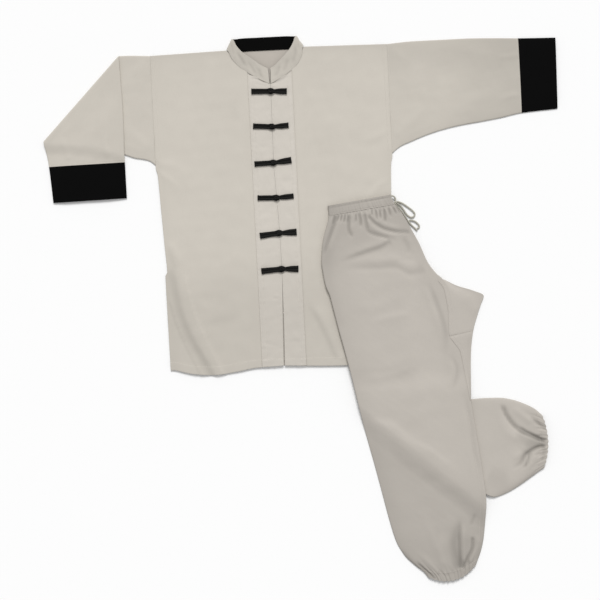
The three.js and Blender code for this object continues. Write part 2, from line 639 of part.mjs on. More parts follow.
// Waistband: one elasticated casing, folded in half with the legs
const bandHigh = FOLDED_PAIR + LAYER_GAP + PAIR;
const bandSections = table('left right', [[-5, 7], [1, 13], [8, 20], [19, 32], [30, 44]]);
const bandHeights = (x, y, w) => {
  const low = overJacket(x, y);
  const wave = 0.7 * Math.sin(GATHERS * 2 * Math.PI * w + 0.8 * Math.sin(9 * w)) * crown(w);
  const welt = 0.9 * Math.exp(-(((y + 3 + 12 * w - 8) / 3) ** 2));
  return { low, high: low + bandHigh + wave - welt };
};
add(trousers, 'waistband', tube(bandSections.map((row) => (
  flatRing(legPlace(row), bandHeights, 42, 7, BAND_WALL)))), COLOURS.trousers);

// Crotch gusset: two walls beside the leg seams, as the trousers are folded in half
const gussetDown = [0, 0.07, 0.15, 0.2, 0.26, 0.36, 0.47, 0.62, 0.8, 1];
function gusset(name, seamLow, rimLow) {
  add(trousers, name, panel(gussetDown.length, 4, (i, j) => {
    const s = lerp(gussetEdge[0].s, gussetEdge.at(-1).s, gussetDown[i]);
    const seam = read(legEdge, 's', 'right', s) + 0.6;
    const rim = Math.max(read(gussetEdge, 's', 'out', s), seam + 2);
    const low = lerp(seamLow, rimLow, smooth(j / 3, 0, 1));
    return { x: lerp(seam, rim, j / 3), y: -s, low, high: low + CLOTH };
  }), COLOURS.trousers);
}
gusset('gusset_far', 0, 0);
gusset('gusset_near', FOLDED_PAIR + LAYER_GAP, CLOTH + GAP);

// Drawstring: a bow at the front end of the waistband, lying beside the trousers
const KNOT = { x: 81.6, y: -23, z: 17.6, radius: 5 };
const cordRoutes = {
  drawstring_lead: table('x y z', [
    [74, -3.6, 8.5], [77.6, -2.4, 12], [80.6, -4, 15.2], [82, -8.6, 16.6], [81.8, -14, 17.1], [81.6, -17.6, 17.3],
  ]),
  drawstring_loop: table('x y z', [
    [87.6, -21.4, 17.4], [91, -21.6, 15], [95.6, -23.4, 10.4], [100.6, -27.6, 5.4], [105.5, -33, 2.7],
    [111.5, -39.6, 2.5], [118, -46.5, 2.5], [124, -54, 2.5], [126.8, -61.5, 2.5], [124.6, -68, 2.5],
    [118.6, -69.8, 2.5], [113.4, -66, 2.5], [109, -58.6, 2.5], [106, -50, 2.5], [103.2, -41.5, 3.4],
    [99, -34.4, 7.6], [94, -29.4, 12.8], [88.4, -26, 16.6],
  ]),
  drawstring_end: table('x y z', [
    [82.4, -29.2, 16.8], [84.6, -32.6, 16.8], [89, -36.6, 15.2], [94.6, -41.6, 11.4], [99, -47.6, 6.6],
    [101.6, -54.6, 3], [103.6, -64, 2.5], [106.2, -72.6, 2.5], [108.8, -80.6, 2.5], [112.6, -88.4, 2.5],
    [117.6, -95.4, 2.5], [122, -102.6, 2.5], [124.4, -108, 2.5],
  ]),
  drawstring_bight: table('x y z', [
    [110.9, -74.8, 2.5], [116.6, -75.6, 2.5], [122, -78.4, 2.5], [127, -82.6, 2.5], [130.6, -88, 2.5],
    [131.2, -93.6, 2.5], [128.4, -97.6, 2.5], [123.8, -98, 2.5],
  ]),
};
function cordTube(rows) {
  const path = new THREE.CatmullRomCurve3(rows.map(({ x, y, z }) => new THREE.Vector3(x, y, z)), false, 'centripetal');
  const section = new THREE.Shape(Array.from({ length: 8 }, (_, i) => {
    const turn = ((i + 0.5) / 8) * 2 * Math.PI;
    return new THREE.Vector2((CORD / 2) * Math.cos(turn), (CORD / 2) * Math.sin(turn));
  }));
  const steps = Math.max(4, Math.round(path.getLength() / (1.6 * CORD)));
  const geometry = new THREE.ExtrudeGeometry(section, { steps, extrudePath: path, bevelEnabled: false });
  geometry.deleteAttribute('normal');
  geometry.deleteAttribute('uv');
  return mergeVertices(geometry, 1e-4);
}
for (const [name, rows] of Object.entries(cordRoutes)) add(trousers, name, cordTube(rows), COLOURS.cord);

const knot = new THREE.SphereGeometry(KNOT.radius, 10, 6);
knot.scale(1.1, 1, 0.72);
knot.translate(KNOT.x, KNOT.y, KNOT.z);
knot.deleteAttribute('normal');
knot.deleteAttribute('uv');
add(trousers, 'drawstring_knot', mergeVertices(knot, 1e-4), COLOURS.cord);

export default group;
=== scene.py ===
"""A tai chi uniform laid flat: a frog-buttoned jacket with one sleeve folded over, and elasticated
trousers folded in half beside it, with the lower leg turned out to the side.

Each garment is laid out in millimetres in its own frame, with x across and y up, and its meshes are
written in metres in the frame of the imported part.
"""

import logging
import math
from dataclasses import dataclass, field, replace
from enum import Enum
from typing import Callable, Iterable, Mapping, Optional, Sequence

import bpy
import numpy as np
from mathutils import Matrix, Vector


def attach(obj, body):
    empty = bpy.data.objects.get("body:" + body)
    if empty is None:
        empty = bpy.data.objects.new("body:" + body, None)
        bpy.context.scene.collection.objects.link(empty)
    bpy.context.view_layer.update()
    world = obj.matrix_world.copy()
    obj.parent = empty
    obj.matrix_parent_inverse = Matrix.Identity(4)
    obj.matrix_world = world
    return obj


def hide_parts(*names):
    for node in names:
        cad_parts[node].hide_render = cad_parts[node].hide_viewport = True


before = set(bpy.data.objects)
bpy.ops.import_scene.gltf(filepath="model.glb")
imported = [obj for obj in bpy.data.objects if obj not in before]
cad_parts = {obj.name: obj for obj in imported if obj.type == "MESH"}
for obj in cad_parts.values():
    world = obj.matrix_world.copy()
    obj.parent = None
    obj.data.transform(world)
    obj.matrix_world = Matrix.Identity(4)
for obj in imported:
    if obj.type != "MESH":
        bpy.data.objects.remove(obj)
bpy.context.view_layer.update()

LOG = logging.getLogger("tai_chi_uniform")
Array = np.ndarray
Value = Array | float
Row = tuple[float, float, float]
Ground = Callable[[Array], tuple[Array, Array]]
Heights = Callable[[Array, Array, Array], tuple[Array, Array]]
Bend = Callable[[Array], Array]
METRE = 0.001  # metres in a millimetre


# Small sums on arrays


def lerp(a: Value, b: Value, share: Value) -> Value:
    """The value that lies a share of the way from a to b."""
    return a + (b - a) * share


def smooth(at: Value, low: float, high: float) -> Value:
    """A soft step from 0 at low to 1 at high."""
    share = np.clip((np.asarray(at, float) - low) / (high - low), 0, 1)
    return share * share * (3 - 2 * share)


def bell(distance: Value, width: float) -> Value:
    """A soft bump that is 1 in the middle and fades over its width."""
    return np.exp(-((np.asarray(distance) / width) ** 2))


def fringe(w: Value) -> Value:
    """How much relief shows across a flat tube where it reaches nearly to the edges."""
    return 1 - (2 * w - 1) ** 12


def crown(w: Value) -> Value:
    """How much puff shows across a flat tube: none at its edges and all in the middle."""
    return 1 - (2 * w - 1) ** 4


def run_along(line: Array) -> Array:
    """Distance from a line's start to each of its points."""
    return np.concatenate([[0], np.cumsum(np.linalg.norm(np.diff(line, axis=0), axis=1))])


def nearest(places: Array, mark: float) -> int:
    """Number of the place that lies nearest to a mark."""
    return int(np.argmin(np.abs(places - mark)))


def stations(length: float, step: float, marks: Sequence[float] = ()) -> Array:
    """Places along a length, close together at both ends and round each mark.

    Args:
        length: how long the stretch is.
        step: the usual distance between places.
        marks: where a seam or a row of stitches crosses.

    Returns:
        The places, in order.
    """
    fine = [0.0, 0.6, 1.6, length - 1.6, length - 0.6, length]
    for mark in marks:
        fine += [mark - 1.2, mark, mark + 1.2]
    plain = np.linspace(0, length, max(3, round(length / step) + 1))
    fine = np.unique(np.round(fine, 3))
    far = np.abs(plain[:, None] - fine[None, :]).min(axis=1) > 1.0
    return np.sort(np.concatenate([plain[far], fine]))


class Profile:
    """A smooth curve through rows of (at, value) that doesn't overshoot them."""

    def __init__(self, rows: Iterable[tuple[float, float]]) -> None:
        """Keeps the rows and works out a slope at each.

        Args:
            rows: pairs of (at, value), in rising order of at.
        """
        self.at, self.value = np.array(list(rows), float).T
        rise = np.diff(self.value) / np.diff(self.at)
        slope = np.zeros(len(self.at))
        same = rise[:-1] * rise[1:] > 0
        total = np.where(same, rise[:-1] + rise[1:], 1)
        slope[1:-1] = np.where(same, 2 * rise[:-1] * rise[1:] / total, 0)
        slope[0], slope[-1] = rise[0], rise[-1]
        self.slope = slope

    def __call__(self, at: Value) -> Array:
        """The curve's value at each place.

        Args:
            at: the places; those past either end read the end's value.

        Returns:
            The values, in the shape of at.
        """
        x = np.clip(np.asarray(at, float), self.at[0], self.at[-1])
        i = np.clip(np.searchsorted(self.at, x, side="right") - 1, 0, len(self.at) - 2)
        step = self.at[i + 1] - self.at[i]
        t = (x - self.at[i]) / step
        start = (1 + 2 * t) * (1 - t) ** 2 * self.value[i] + t * (1 - t) ** 2 * step * self.slope[i]
        end = t * t * (3 - 2 * t) * self.value[i + 1] - t * t * (1 - t) * step * self.slope[i + 1]
        return start + end


def curve_through(points: Sequence[Sequence[float]], steps: int) -> Array:
    """A smooth line through points.

    Args:
        points: the points that the line passes, in order.
        steps: how many stretches are made between two points.

    Returns:
        The points of the line.
    """
    p = np.array(points, float)
    p = np.vstack([2 * p[0] - p[1], p, 2 * p[-1] - p[-2]])
    t = np.linspace(0, 1, steps, endpoint=False)[:, None]
    out = []
    for a, b, c, d in zip(p[:-3], p[1:-2], p[2:-1], p[3:]):
        cubic = (3 * b - a - 3 * c + d) * t**3 + (2 * a - 5 * b + 4 * c - d) * t**2
        out.append(0.5 * (2 * b + (c - a) * t + cubic))
    return np.vstack([*out, p[-2:-1]])


def even(line: Array, step: float) -> Array:
    """The same line with its points an even distance apart."""
    along = run_along(line)
    at = np.linspace(0, along[-1], max(2, round(along[-1] / step) + 1))
    return np.stack([np.interp(at, along, line[:, k]) for k in range(line.shape[1])], axis=1)


def rings_through(rows: Sequence[Sequence[float]], step: float, fine: Sequence[float] = ()) -> list[Array]:
    """Rings of a tube through given sections.

    Args:
        rows: each section's place on either edge, with any other values after them.
        step: the usual distance between rings.
        fine: places that a row of stitches follows, from the start, or below zero from the end.

    Returns:
        Every column's value at each ring, and how far along each ring is.
    """
    table = np.array(rows, float)
    run = np.concatenate([[0], np.cumsum(0.5 * (np.diff(table[:, 0]) + np.diff(table[:, 1])))])
    at = [stations(run[-1], step, [mark if mark > 0 else run[-1] + mark for mark in fine])]
    at += [run[i:i + 2] for i in range(len(run) - 1) if run[i + 1] - run[i] < step]
    at = np.unique(np.round(np.concatenate(at), 2))
    return [*(Profile(zip(run, column))(at) for column in table.T), at]


# Relief of laid cloth


@dataclass(frozen=True)
class Crease:
    """A soft fold in laid cloth: a ridge, or a trough where its height is below zero."""

    line: tuple[tuple[float, float], ...]
    width: float
    height: float
    fade: tuple[float, float] = (0.3, 0.3)  # shares of its line over which it starts and ends
    lean: float = 0.0  # how much wider one flank is than the other

    def relief(self, x: Array, y: Array) -> Array:
        """How far the fold lifts the cloth.

        Args:
            x: places across.
            y: places up.

        Returns:
            The lift at each place.
        """
        points = curve_through(self.line, 5)
        count = len(points) - 1
        best = np.full(x.shape, 1e9)
        side = np.zeros(x.shape)
        along = np.zeros(x.shape)
        for i, (a, b) in enumerate(zip(points[:-1], points[1:])):
            d = b - a
            share = np.clip(((x - a[0]) * d[0] + (y - a[1]) * d[1]) / (d @ d), 0, 1)
            dx, dy = x - a[0] - share * d[0], y - a[1] - share * d[1]
            away = dx * dx + dy * dy
            near = away < best
            best = np.where(near, away, best)
            side = np.where(near, np.sign(dx * d[1] - dy * d[0]), side)
            along = np.where(near, (i + share) / count, along)
        start = smooth(along, 0, self.fade[0]) if self.fade[0] > 0 else 1
        end = 1 - smooth(along, 1 - self.fade[1], 1) if self.fade[1] > 0 else 1
        sharp = 1 / (self.width * (1 + self.lean * side)) ** 2
        return self.height * start * end * bell(np.sqrt(best), 1) ** sharp


def creases_of(*rows: tuple) -> tuple[Crease, ...]:
    """Creases from rows of line, width, height and, where they aren't the usual ones, fade and lean."""
    return tuple(Crease(*row) for row in rows)


@dataclass(frozen=True)
class Rumple:
    """The slight unevenness of cloth that was worn, washed and laid down by hand."""

    seed: int
    height: float = 0.35
    length: float = 70.0
    waves: int = 9

    def relief(self, x: Array, y: Array) -> Array:
        """How far the cloth stands off its flat place, above and below it."""
        draw = np.random.default_rng(self.seed)
        total = np.zeros(np.shape(x))
        for _ in range(self.waves):
            turn = draw.uniform(0, math.pi)
            phase = draw.uniform(0, 2 * math.pi)
            share = draw.uniform(0.45, 1.6)
            across = x * math.cos(turn) + y * math.sin(turn)
            total = total + share * np.sin(2 * math.pi * across / (self.length * share) + phase)
        return self.height * total / math.sqrt(self.waves)


@dataclass(frozen=True)
class Gathers:
    """Uneven gathers that run out of an elastic edge, each with its own depth and length."""

    count: int
    seed: int
    depth: float
    reach: float
    width: float = 0.3

    def relief(self, w: Array, away: Array) -> Array:
        """How far the gathers press the cloth down.

        Args:
            w: places across the tube, from 0 to 1.
            away: distance from the elastic edge.

        Returns:
            The drop at each place, as zero or less.
        """
        draw = np.random.default_rng(self.seed)
        total = np.zeros(np.shape(w))
        for i in range(self.count):
            middle = (i + 0.5 + draw.uniform(-0.28, 0.28)) / self.count
            depth = self.depth * draw.uniform(0.45, 1.25)
            reach = self.reach * draw.uniform(0.4, 1.3)
            slant = draw.uniform(-0.5, 0.5) / self.count
            across = (w - middle - slant * np.clip(away / reach, 0, 1)) * self.count
            total = total - depth * bell(across, self.width) * bell(np.maximum(away, 0), reach)
        return total


def painted_crease_shading(relief: Array) -> Array:
    """Painted shade in a fold's trough and a faint painted highlight on its ridge, as less light reaches a
    trough than a ridge.
    """
    return 1 + 0.045 * np.clip(relief, -6, 0) + 0.012 * np.clip(relief, 0, 2)


def total_relief(parts: Sequence, x: Array, y: Array) -> Array:
    """The lift of several creases or rumples together."""
    lift = np.zeros(np.shape(x))
    for part in parts:
        lift = lift + part.relief(x, y)
    return lift


# Meshes


@dataclass
class Skin:
    """A closed mesh in a garment's millimetres, with its place on the cloth and its painted shade and
    highlight.
    """

    points: Array
    faces: Array
    cloth: Array
    # painted shade and highlight per point, a factor on the colour
    tone: Array

    def outward(self) -> "Skin":
        """The same mesh with its faces pointing out."""
        a, b, c, d = (self.points[self.faces[:, i]] for i in range(4))
        volume = np.einsum("ij,ij->i", a, np.cross(b, c) + np.cross(c, d)).sum()
        if volume < 0:
            self.faces = self.faces[:, ::-1]
        return self


def joined(skins: Sequence[Skin]) -> Skin:
    """Several closed meshes as one."""
    starts = np.cumsum([0] + [len(s.points) for s in skins[:-1]])
    return Skin(
        np.vstack([s.points for s in skins]),
        np.vstack([s.faces + start for s, start in zip(skins, starts)]),
        np.vstack([s.cloth for s in skins]),
        np.concatenate([s.tone for s in skins]),
    )


def panel_skin(top: Array, bottom: Array, cloth: Array, tone: Array) -> Skin:
    """A closed wall between two grids of points.

    Args:
        top: rows by columns by 3.
        bottom: the same for its underside.
        cloth: rows by columns by 2, the place on the flat cloth.
        tone: rows by columns.

    Returns:
        The closed mesh.
    """
    rows, columns = top.shape[:2]
    size = rows * columns
    at = np.arange(size).reshape(rows, columns)
    quads = np.stack([at[:-1, :-1], at[:-1, 1:], at[1:, 1:], at[1:, :-1]], axis=-1).reshape(-1, 4)
    rim = np.concatenate([at[0, :-1], at[:-1, -1], at[-1, :0:-1], at[:0:-1, 0]])
    after = np.roll(rim, -1)
    walls = np.stack([after, rim, rim + size, after + size], axis=-1)
    faces = np.vstack([quads, quads[:, ::-1] + size, walls])
    return Skin(
        np.vstack([top.reshape(-1, 3), bottom.reshape(-1, 3)]),
        faces,
        np.vstack([cloth.reshape(-1, 2)] * 2),
        np.concatenate([tone.ravel()] * 2),
    ).outward()


def tube_skin(outer: Array, inner: Array, cloth: Array, tone: Array) -> Skin:
    """A closed wall round a hollow, open at both ends.

    Args:
        outer: rings by points by 3.
        inner: the same for the inside of the wall.
        cloth: rings by points by 2.
        tone: rings by points.

    Returns:
        The closed mesh.
    """
    rings, count = outer.shape[:2]
    size = rings * count
    at = np.arange(size).reshape(rings, count)
    beside = np.roll(at, -1, axis=1)
    quads = np.stack([at[:-1], beside[:-1], beside[1:], at[1:]], axis=-1).reshape(-1, 4)
    first = np.stack([beside[0], at[0], at[0] + size, beside[0] + size], axis=-1)
    last = np.stack([at[-1], beside[-1], beside[-1] + size, at[-1] + size], axis=-1)
    return Skin(
        np.vstack([outer.reshape(-1, 3), inner.reshape(-1, 3)]),
        np.vstack([quads, quads[:, ::-1] + size, first, last]),
        np.vstack([cloth.reshape(-1, 2)] * 2),
        np.concatenate([tone.ravel()] * 2),
    ).outward()


def sweep(line: Array, wide: Array, high: Array, sides: int, closed: bool = False,
          lobes: float = 0.0) -> Skin:
    """A cord along a line, with rounded ends.

    Args:
        line: the points down its middle.
        wide: half its width at each point.
        high: half its height at each point.
        sides: points round it.
        closed: whether the line joins its own start.
        lobes: how far the plaits of the braid stand out, as a share of its size.

    Returns:
        The closed mesh.
    """
    ahead = np.gradient(line, axis=0)
    if closed:
        ahead = np.roll(line, -1, axis=0) - np.roll(line, 1, axis=0)
    ahead /= np.linalg.norm(ahead, axis=1, keepdims=True)
    across = np.cross(ahead, [0.0, 0.0, 1.0])
    weak = np.linalg.norm(across, axis=1) < 0.25
    for i in np.flatnonzero(weak):
        across[i] = across[i - 1] if i else [1.0, 0.0, 0.0]
    across -= (across * ahead).sum(1)[:, None] * ahead
    across /= np.linalg.norm(across, axis=1, keepdims=True)
    up = np.cross(across, ahead)
    along = run_along(line)
    turn = np.arange(sides) / sides * 2 * math.pi
    wind = along[:, None] * 0.9
    swell = 1 + lobes * (np.sin(3 * turn[None, :] + wind) * np.sin(3 * turn[None, :] - wind))
    ring = (
        line[:, None, :]
        + (np.cos(turn) * wide[:, None] * swell)[..., None] * across[:, None, :]
        + (np.sin(turn) * high[:, None] * swell)[..., None] * up[:, None, :]
    )
    size = ring.shape[0] * sides
    at = np.arange(size).reshape(-1, sides)
    beside = np.roll(at, -1, axis=1)
    cloth = np.stack(np.broadcast_arrays(turn[None, :] * 2.0, along[:, None]), axis=-1).reshape(-1, 2)
    if closed:
        after, next_beside = np.roll(at, -1, axis=0), np.roll(beside, -1, axis=0)
        faces = np.stack([at, beside, next_beside, after], axis=-1).reshape(-1, 4)
        return Skin(ring.reshape(-1, 3), faces, cloth, np.ones(size)).outward()
    faces = [np.stack([at[:-1], beside[:-1], beside[1:], at[1:]], axis=-1).reshape(-1, 4)]
    caps = [ring.reshape(-1, 3)]
    cloths = [cloth]
    start = size
    for end, sign in ((0, -1), (-1, 1)):
        edge = at[end]
        for inset, out in ((0.72, 0.55), (0.3, 0.85)):
            middle = line[end]
            loop = middle + (ring[end] - middle) * inset + sign * ahead[end] * out * high[end] * 0.7
            now = np.arange(start, start + sides)
            walls = np.stack([edge, np.roll(edge, -1), np.roll(now, -1), now], axis=-1)
            faces.append(walls if sign > 0 else walls[:, ::-1])
            caps.append(loop)
            cloths.append(cloth[at[end]])
            edge = now
            start += sides
        half = sides // 2
        lid = [[edge[i], edge[i + 1], edge[sides - 2 - i], edge[sides - 1 - i]] for i in range(half - 1)]
        lid = np.array(lid)
        faces.append(lid if sign > 0 else lid[:, ::-1])
    points = np.vstack(caps)
    return Skin(points, np.vstack(faces), np.vstack(cloths), np.ones(len(points))).outward()


# Shader graphs


class NodeGraph:
    """A material's nodes."""

    def __init__(self, name: str) -> None:
        """Starts a material with one Principled shader."""
        self.material = bpy.data.materials.new(name)
        self.material.use_nodes = True
        self.tree = self.material.node_tree
        self.tree.nodes.clear()
        self.shader = self.tree.nodes.new("ShaderNodeBsdfPrincipled")
        output = self.tree.nodes.new("ShaderNodeOutputMaterial")
        self.tree.links.new(self.shader.outputs["BSDF"], output.inputs["Surface"])

    def node(self, kind: str, settings: Mapping, sockets: Mapping, output: str | int = 0) -> "Signal":
        """Adds any node.

        Args:
            kind: the node's type, without its ShaderNode prefix.
            settings: the node's own settings; "stops" are a ramp's (place, colour) pairs.
            sockets: values or links of its inputs, by name or number.
            output: the output to read.

        Returns:
            The chosen output.
        """
        made = self.tree.nodes.new("ShaderNode" + kind)
        for key, value in settings.items():
            if key == "stops":
                for element, (place, colour) in zip(made.color_ramp.elements, value):
                    element.position, element.color = place, colour
            else:
                setattr(made, key, value)
        for key, value in sockets.items():
            self.feed(made.inputs[key], value)
        return Signal(self, made.outputs[output])

    def feed(self, socket: bpy.types.NodeSocket, value: "Input") -> None:
        """Gives a socket a link or a plain value."""
        if isinstance(value, Signal):
            self.tree.links.new(value.socket, socket)
        else:
            socket.default_value = value

    def surface(self, **inputs: "Input") -> None:
        """Sets the shader's sockets, named with _ for each space."""
        for key, value in inputs.items():
            self.feed(self.shader.inputs[key.replace("_", " ")], value)


class Signal:
    """A value that varies over a surface, for sums written as Python expressions."""

    def __init__(self, graph: NodeGraph, socket: bpy.types.NodeSocket) -> None:
        """Wraps one output socket."""
        self.graph = graph
        self.socket = socket

    def _math(self, operation: str, *values: "Input") -> "Signal":
        """One Math node."""
        return self.graph.node("Math", {"operation": operation}, dict(enumerate(values)))

    def __add__(self, other: "Input") -> "Signal":
        """Sum."""
        return self._math("ADD", self, other)

    def __radd__(self, other: "Input") -> "Signal":
        """Sum, from the right."""
        return self._math("ADD", other, self)

    def __sub__(self, other: "Input") -> "Signal":
        """Difference."""
        return self._math("SUBTRACT", self, other)

    def __rsub__(self, other: "Input") -> "Signal":
        """Difference, from the right."""
        return self._math("SUBTRACT", other, self)

    def __mul__(self, other: "Input") -> "Signal":
        """Product."""
        return self._math("MULTIPLY", self, other)

    def __rmul__(self, other: "Input") -> "Signal":
        """Product, from the right."""
        return self._math("MULTIPLY", other, self)

    def sine(self) -> "Signal":
        """Sine of an angle in radians."""
        return self._math("SINE", self)

    def scaled(self, colour: "Signal") -> "Signal":
        """A colour made lighter or darker by this value."""
        return self.graph.node("VectorMath", {"operation": "SCALE"}, {0: colour, "Scale": self})


Input = Signal | float | tuple


# Finishes


@dataclass(frozen=True)
class Colour:
    """A colour as screens show it, from 0 to 255."""

    red: float
    green: float
    blue: float

    def linear(self, gain: float = 1.0) -> tuple[float, float, float, float]:
        """The colour in light's own scale, times a gain."""
        out = []
        for part in (self.red, self.green, self.blue):
            value = part / 255
            out.append(gain * (value / 12.92 if value <= 0.04045 else ((value + 0.055) / 1.055) ** 2.4))
        return (*out, 1.0)


@dataclass(frozen=True)
class ClothFinish:
    """Plain-woven cotton, with its threads, slubs and slight changes of colour, times painted shading."""

    name: str
    colour: Colour
    slot: str
    thread: float = 0.55  # from one thread to the next
    weave_depth: float = 0.05
    slub: float = 0.05  # how much the threads differ in tone
    mottle: float = 0.03
    roughness: float = 0.92
    sheen: float = 0.06
    gloss: float = 0.15

    def make(self) -> bpy.types.Material:
        """Builds the material.

        Returns:
            The material.
        """
        graph = NodeGraph(self.name)
        place = graph.node("Attribute", {"attribute_name": "cloth"}, {}, "Vector")
        across = graph.node("SeparateXYZ", {}, {0: place})
        along = Signal(graph, across.socket.node.outputs[1])
        turn = 2 * math.pi / self.thread
        weave = (across * turn).sine() * (along * turn).sine()
        warp = graph.node("Mapping", {}, {0: place, "Scale": (1.6, 0.05, 1)})
        weft = graph.node("Mapping", {}, {0: place, "Scale": (0.05, 1.6, 1)})
        noise = {"noise_dimensions": "2D"}
        warp = graph.node("TexNoise", noise, {"Vector": warp, "Scale": 1.0, "Detail": 2.0}, "Fac")
        weft = graph.node("TexNoise", noise, {"Vector": weft, "Scale": 1.0, "Detail": 2.0}, "Fac")
        cloud = graph.node("TexNoise", noise, {"Vector": place, "Scale": 0.012, "Detail": 3.0}, "Fac")
        lint = graph.node("TexNoise", noise, {"Vector": place, "Scale": 0.35, "Detail": 2.0}, "Fac")
        # painted shading from the mesh: painted shade in troughs, at edges and in patches, faint painted
        # highlight on ridges; times the threads' own slubs and mottle
        tone = graph.node("Attribute", {"attribute_name": "tone"}, {}, "Fac")
        slubs = warp + weft - 1.0
        shade = tone * (1.0 + slubs * self.slub + (cloud - 0.5) * self.mottle + (lint - 0.5) * self.mottle)
        colour = graph.node("Mix", {"data_type": "RGBA"}, {
            0: cloud, 6: self.colour.linear(0.985), 7: self.colour.linear(1.015),
        }, 2)
        height = weave * self.weave_depth + slubs * 0.12
        bump = graph.node("Bump", {}, {"Strength": 0.5, "Distance": METRE, "Height": height})
        graph.surface(
            Base_Color=shade.scaled(colour), Roughness=self.roughness, Normal=bump,
            Sheen_Weight=self.sheen, Specular_IOR_Level=self.gloss,
        )
        return graph.material


@dataclass(frozen=True)
class BraidFinish:
    """Braided or rolled cord, with its plait in low relief."""

    name: str
    colour: Colour
    slot: str
    plait: float = 1.6
    depth: float = 0.25
    # painted shade in the plait's grooves and painted highlight on its crowns, as a share of the colour
    plait_shading: float = 0.25
    roughness: float = 0.8

    def make(self) -> bpy.types.Material:
        """Builds the material.

        Returns:
            The material.
        """
        graph = NodeGraph(self.name)
        place = graph.node("Attribute", {"attribute_name": "cloth"}, {}, "Vector")
        across = graph.node("SeparateXYZ", {}, {0: place})
        along = Signal(graph, across.socket.node.outputs[1])
        turn = 2 * math.pi / self.plait
        plait = ((along + across) * turn).sine() * ((along - across) * turn).sine()
        fluff = graph.node("TexNoise", {"noise_dimensions": "2D"}, {"Vector": place, "Scale": 1.3}, "Fac")
        # painted shade and highlight that follow the plait's relief: darker in its grooves, lighter on its
        # crowns
        colour = graph.node("Mix", {"data_type": "RGBA"}, {
            0: 0.5 + plait * 0.4,
            6: self.colour.linear(1 - self.plait_shading),
            7: self.colour.linear(1 + self.plait_shading),
        }, 2)
        height = plait * self.depth + fluff * 0.15
        bump = graph.node("Bump", {}, {"Strength": 0.8, "Distance": METRE, "Height": height})
        graph.surface(
            Base_Color=colour, Roughness=self.roughness, Normal=bump,
            Sheen_Weight=0.04, Specular_IOR_Level=0.2,
        )
        return graph.material


@dataclass(frozen=True)
class FloorFinish:
    """A plain pale floor."""

    name: str = "pale_floor"
    shade: float = 0.93

    def make(self) -> bpy.types.Material:
        """Builds the material."""
        graph = NodeGraph(self.name)
        colour = (self.shade, self.shade, self.shade, 1.0)
        graph.surface(Base_Color=colour, Roughness=0.9, Specular_IOR_Level=0.1)
        return graph.material


Finish = ClothFinish | BraidFinish
JACKET_CLOTH = ClothFinish("jacket_cotton", Colour(203, 197, 187), "jacket_cloth")
BAND_CLOTH = ClothFinish("jacket_band_cotton", Colour(204, 198, 189), "jacket_cloth")
# The jacket's own cotton made darker: painted shade for the inside of the back, seen down in the neck
# opening.
SHADED_INSIDE_CLOTH = ClothFinish("jacket_inside_shaded_cotton", Colour(185, 178, 169), "jacket_cloth")
TROUSER_CLOTH = ClothFinish("trouser_cotton", Colour(185, 179, 171), "trouser_cloth")
BLACK_CLOTH = ClothFinish(
    "black_cotton", Colour(9, 9, 9), "black_cloth", slub=0.25, mottle=0.1, sheen=0.0, gloss=0.05)
FROG_CORD = BraidFinish("frog_braid", Colour(19, 18, 16), "frog_cord")
STRING = BraidFinish(
    "drawstring_braid", Colour(176, 173, 161), "drawstring", plait=2.4, depth=0.12, plait_shading=0.12)
JACKET_THREAD = BraidFinish("jacket_thread", Colour(211, 206, 197), "jacket_cloth", plait=0.8, depth=0.05)
TROUSER_THREAD = BraidFinish("trouser_thread", Colour(198, 191, 184), "trouser_cloth", plait=0.8, depth=0.05)


class Held(Enum):
    """How a sheet of cloth is kept in its place."""

    LAID = "laid"
    FOLDED = "folded"
    GATHERED = "gathered"


@dataclass(frozen=True)
class Cut:
    """The flat size of a piece of cloth before it is sewn, in millimetres."""

    width: float
    length: float
    area: float
    held: Held = Held.LAID
    rests_on: tuple[str, ...] = ()


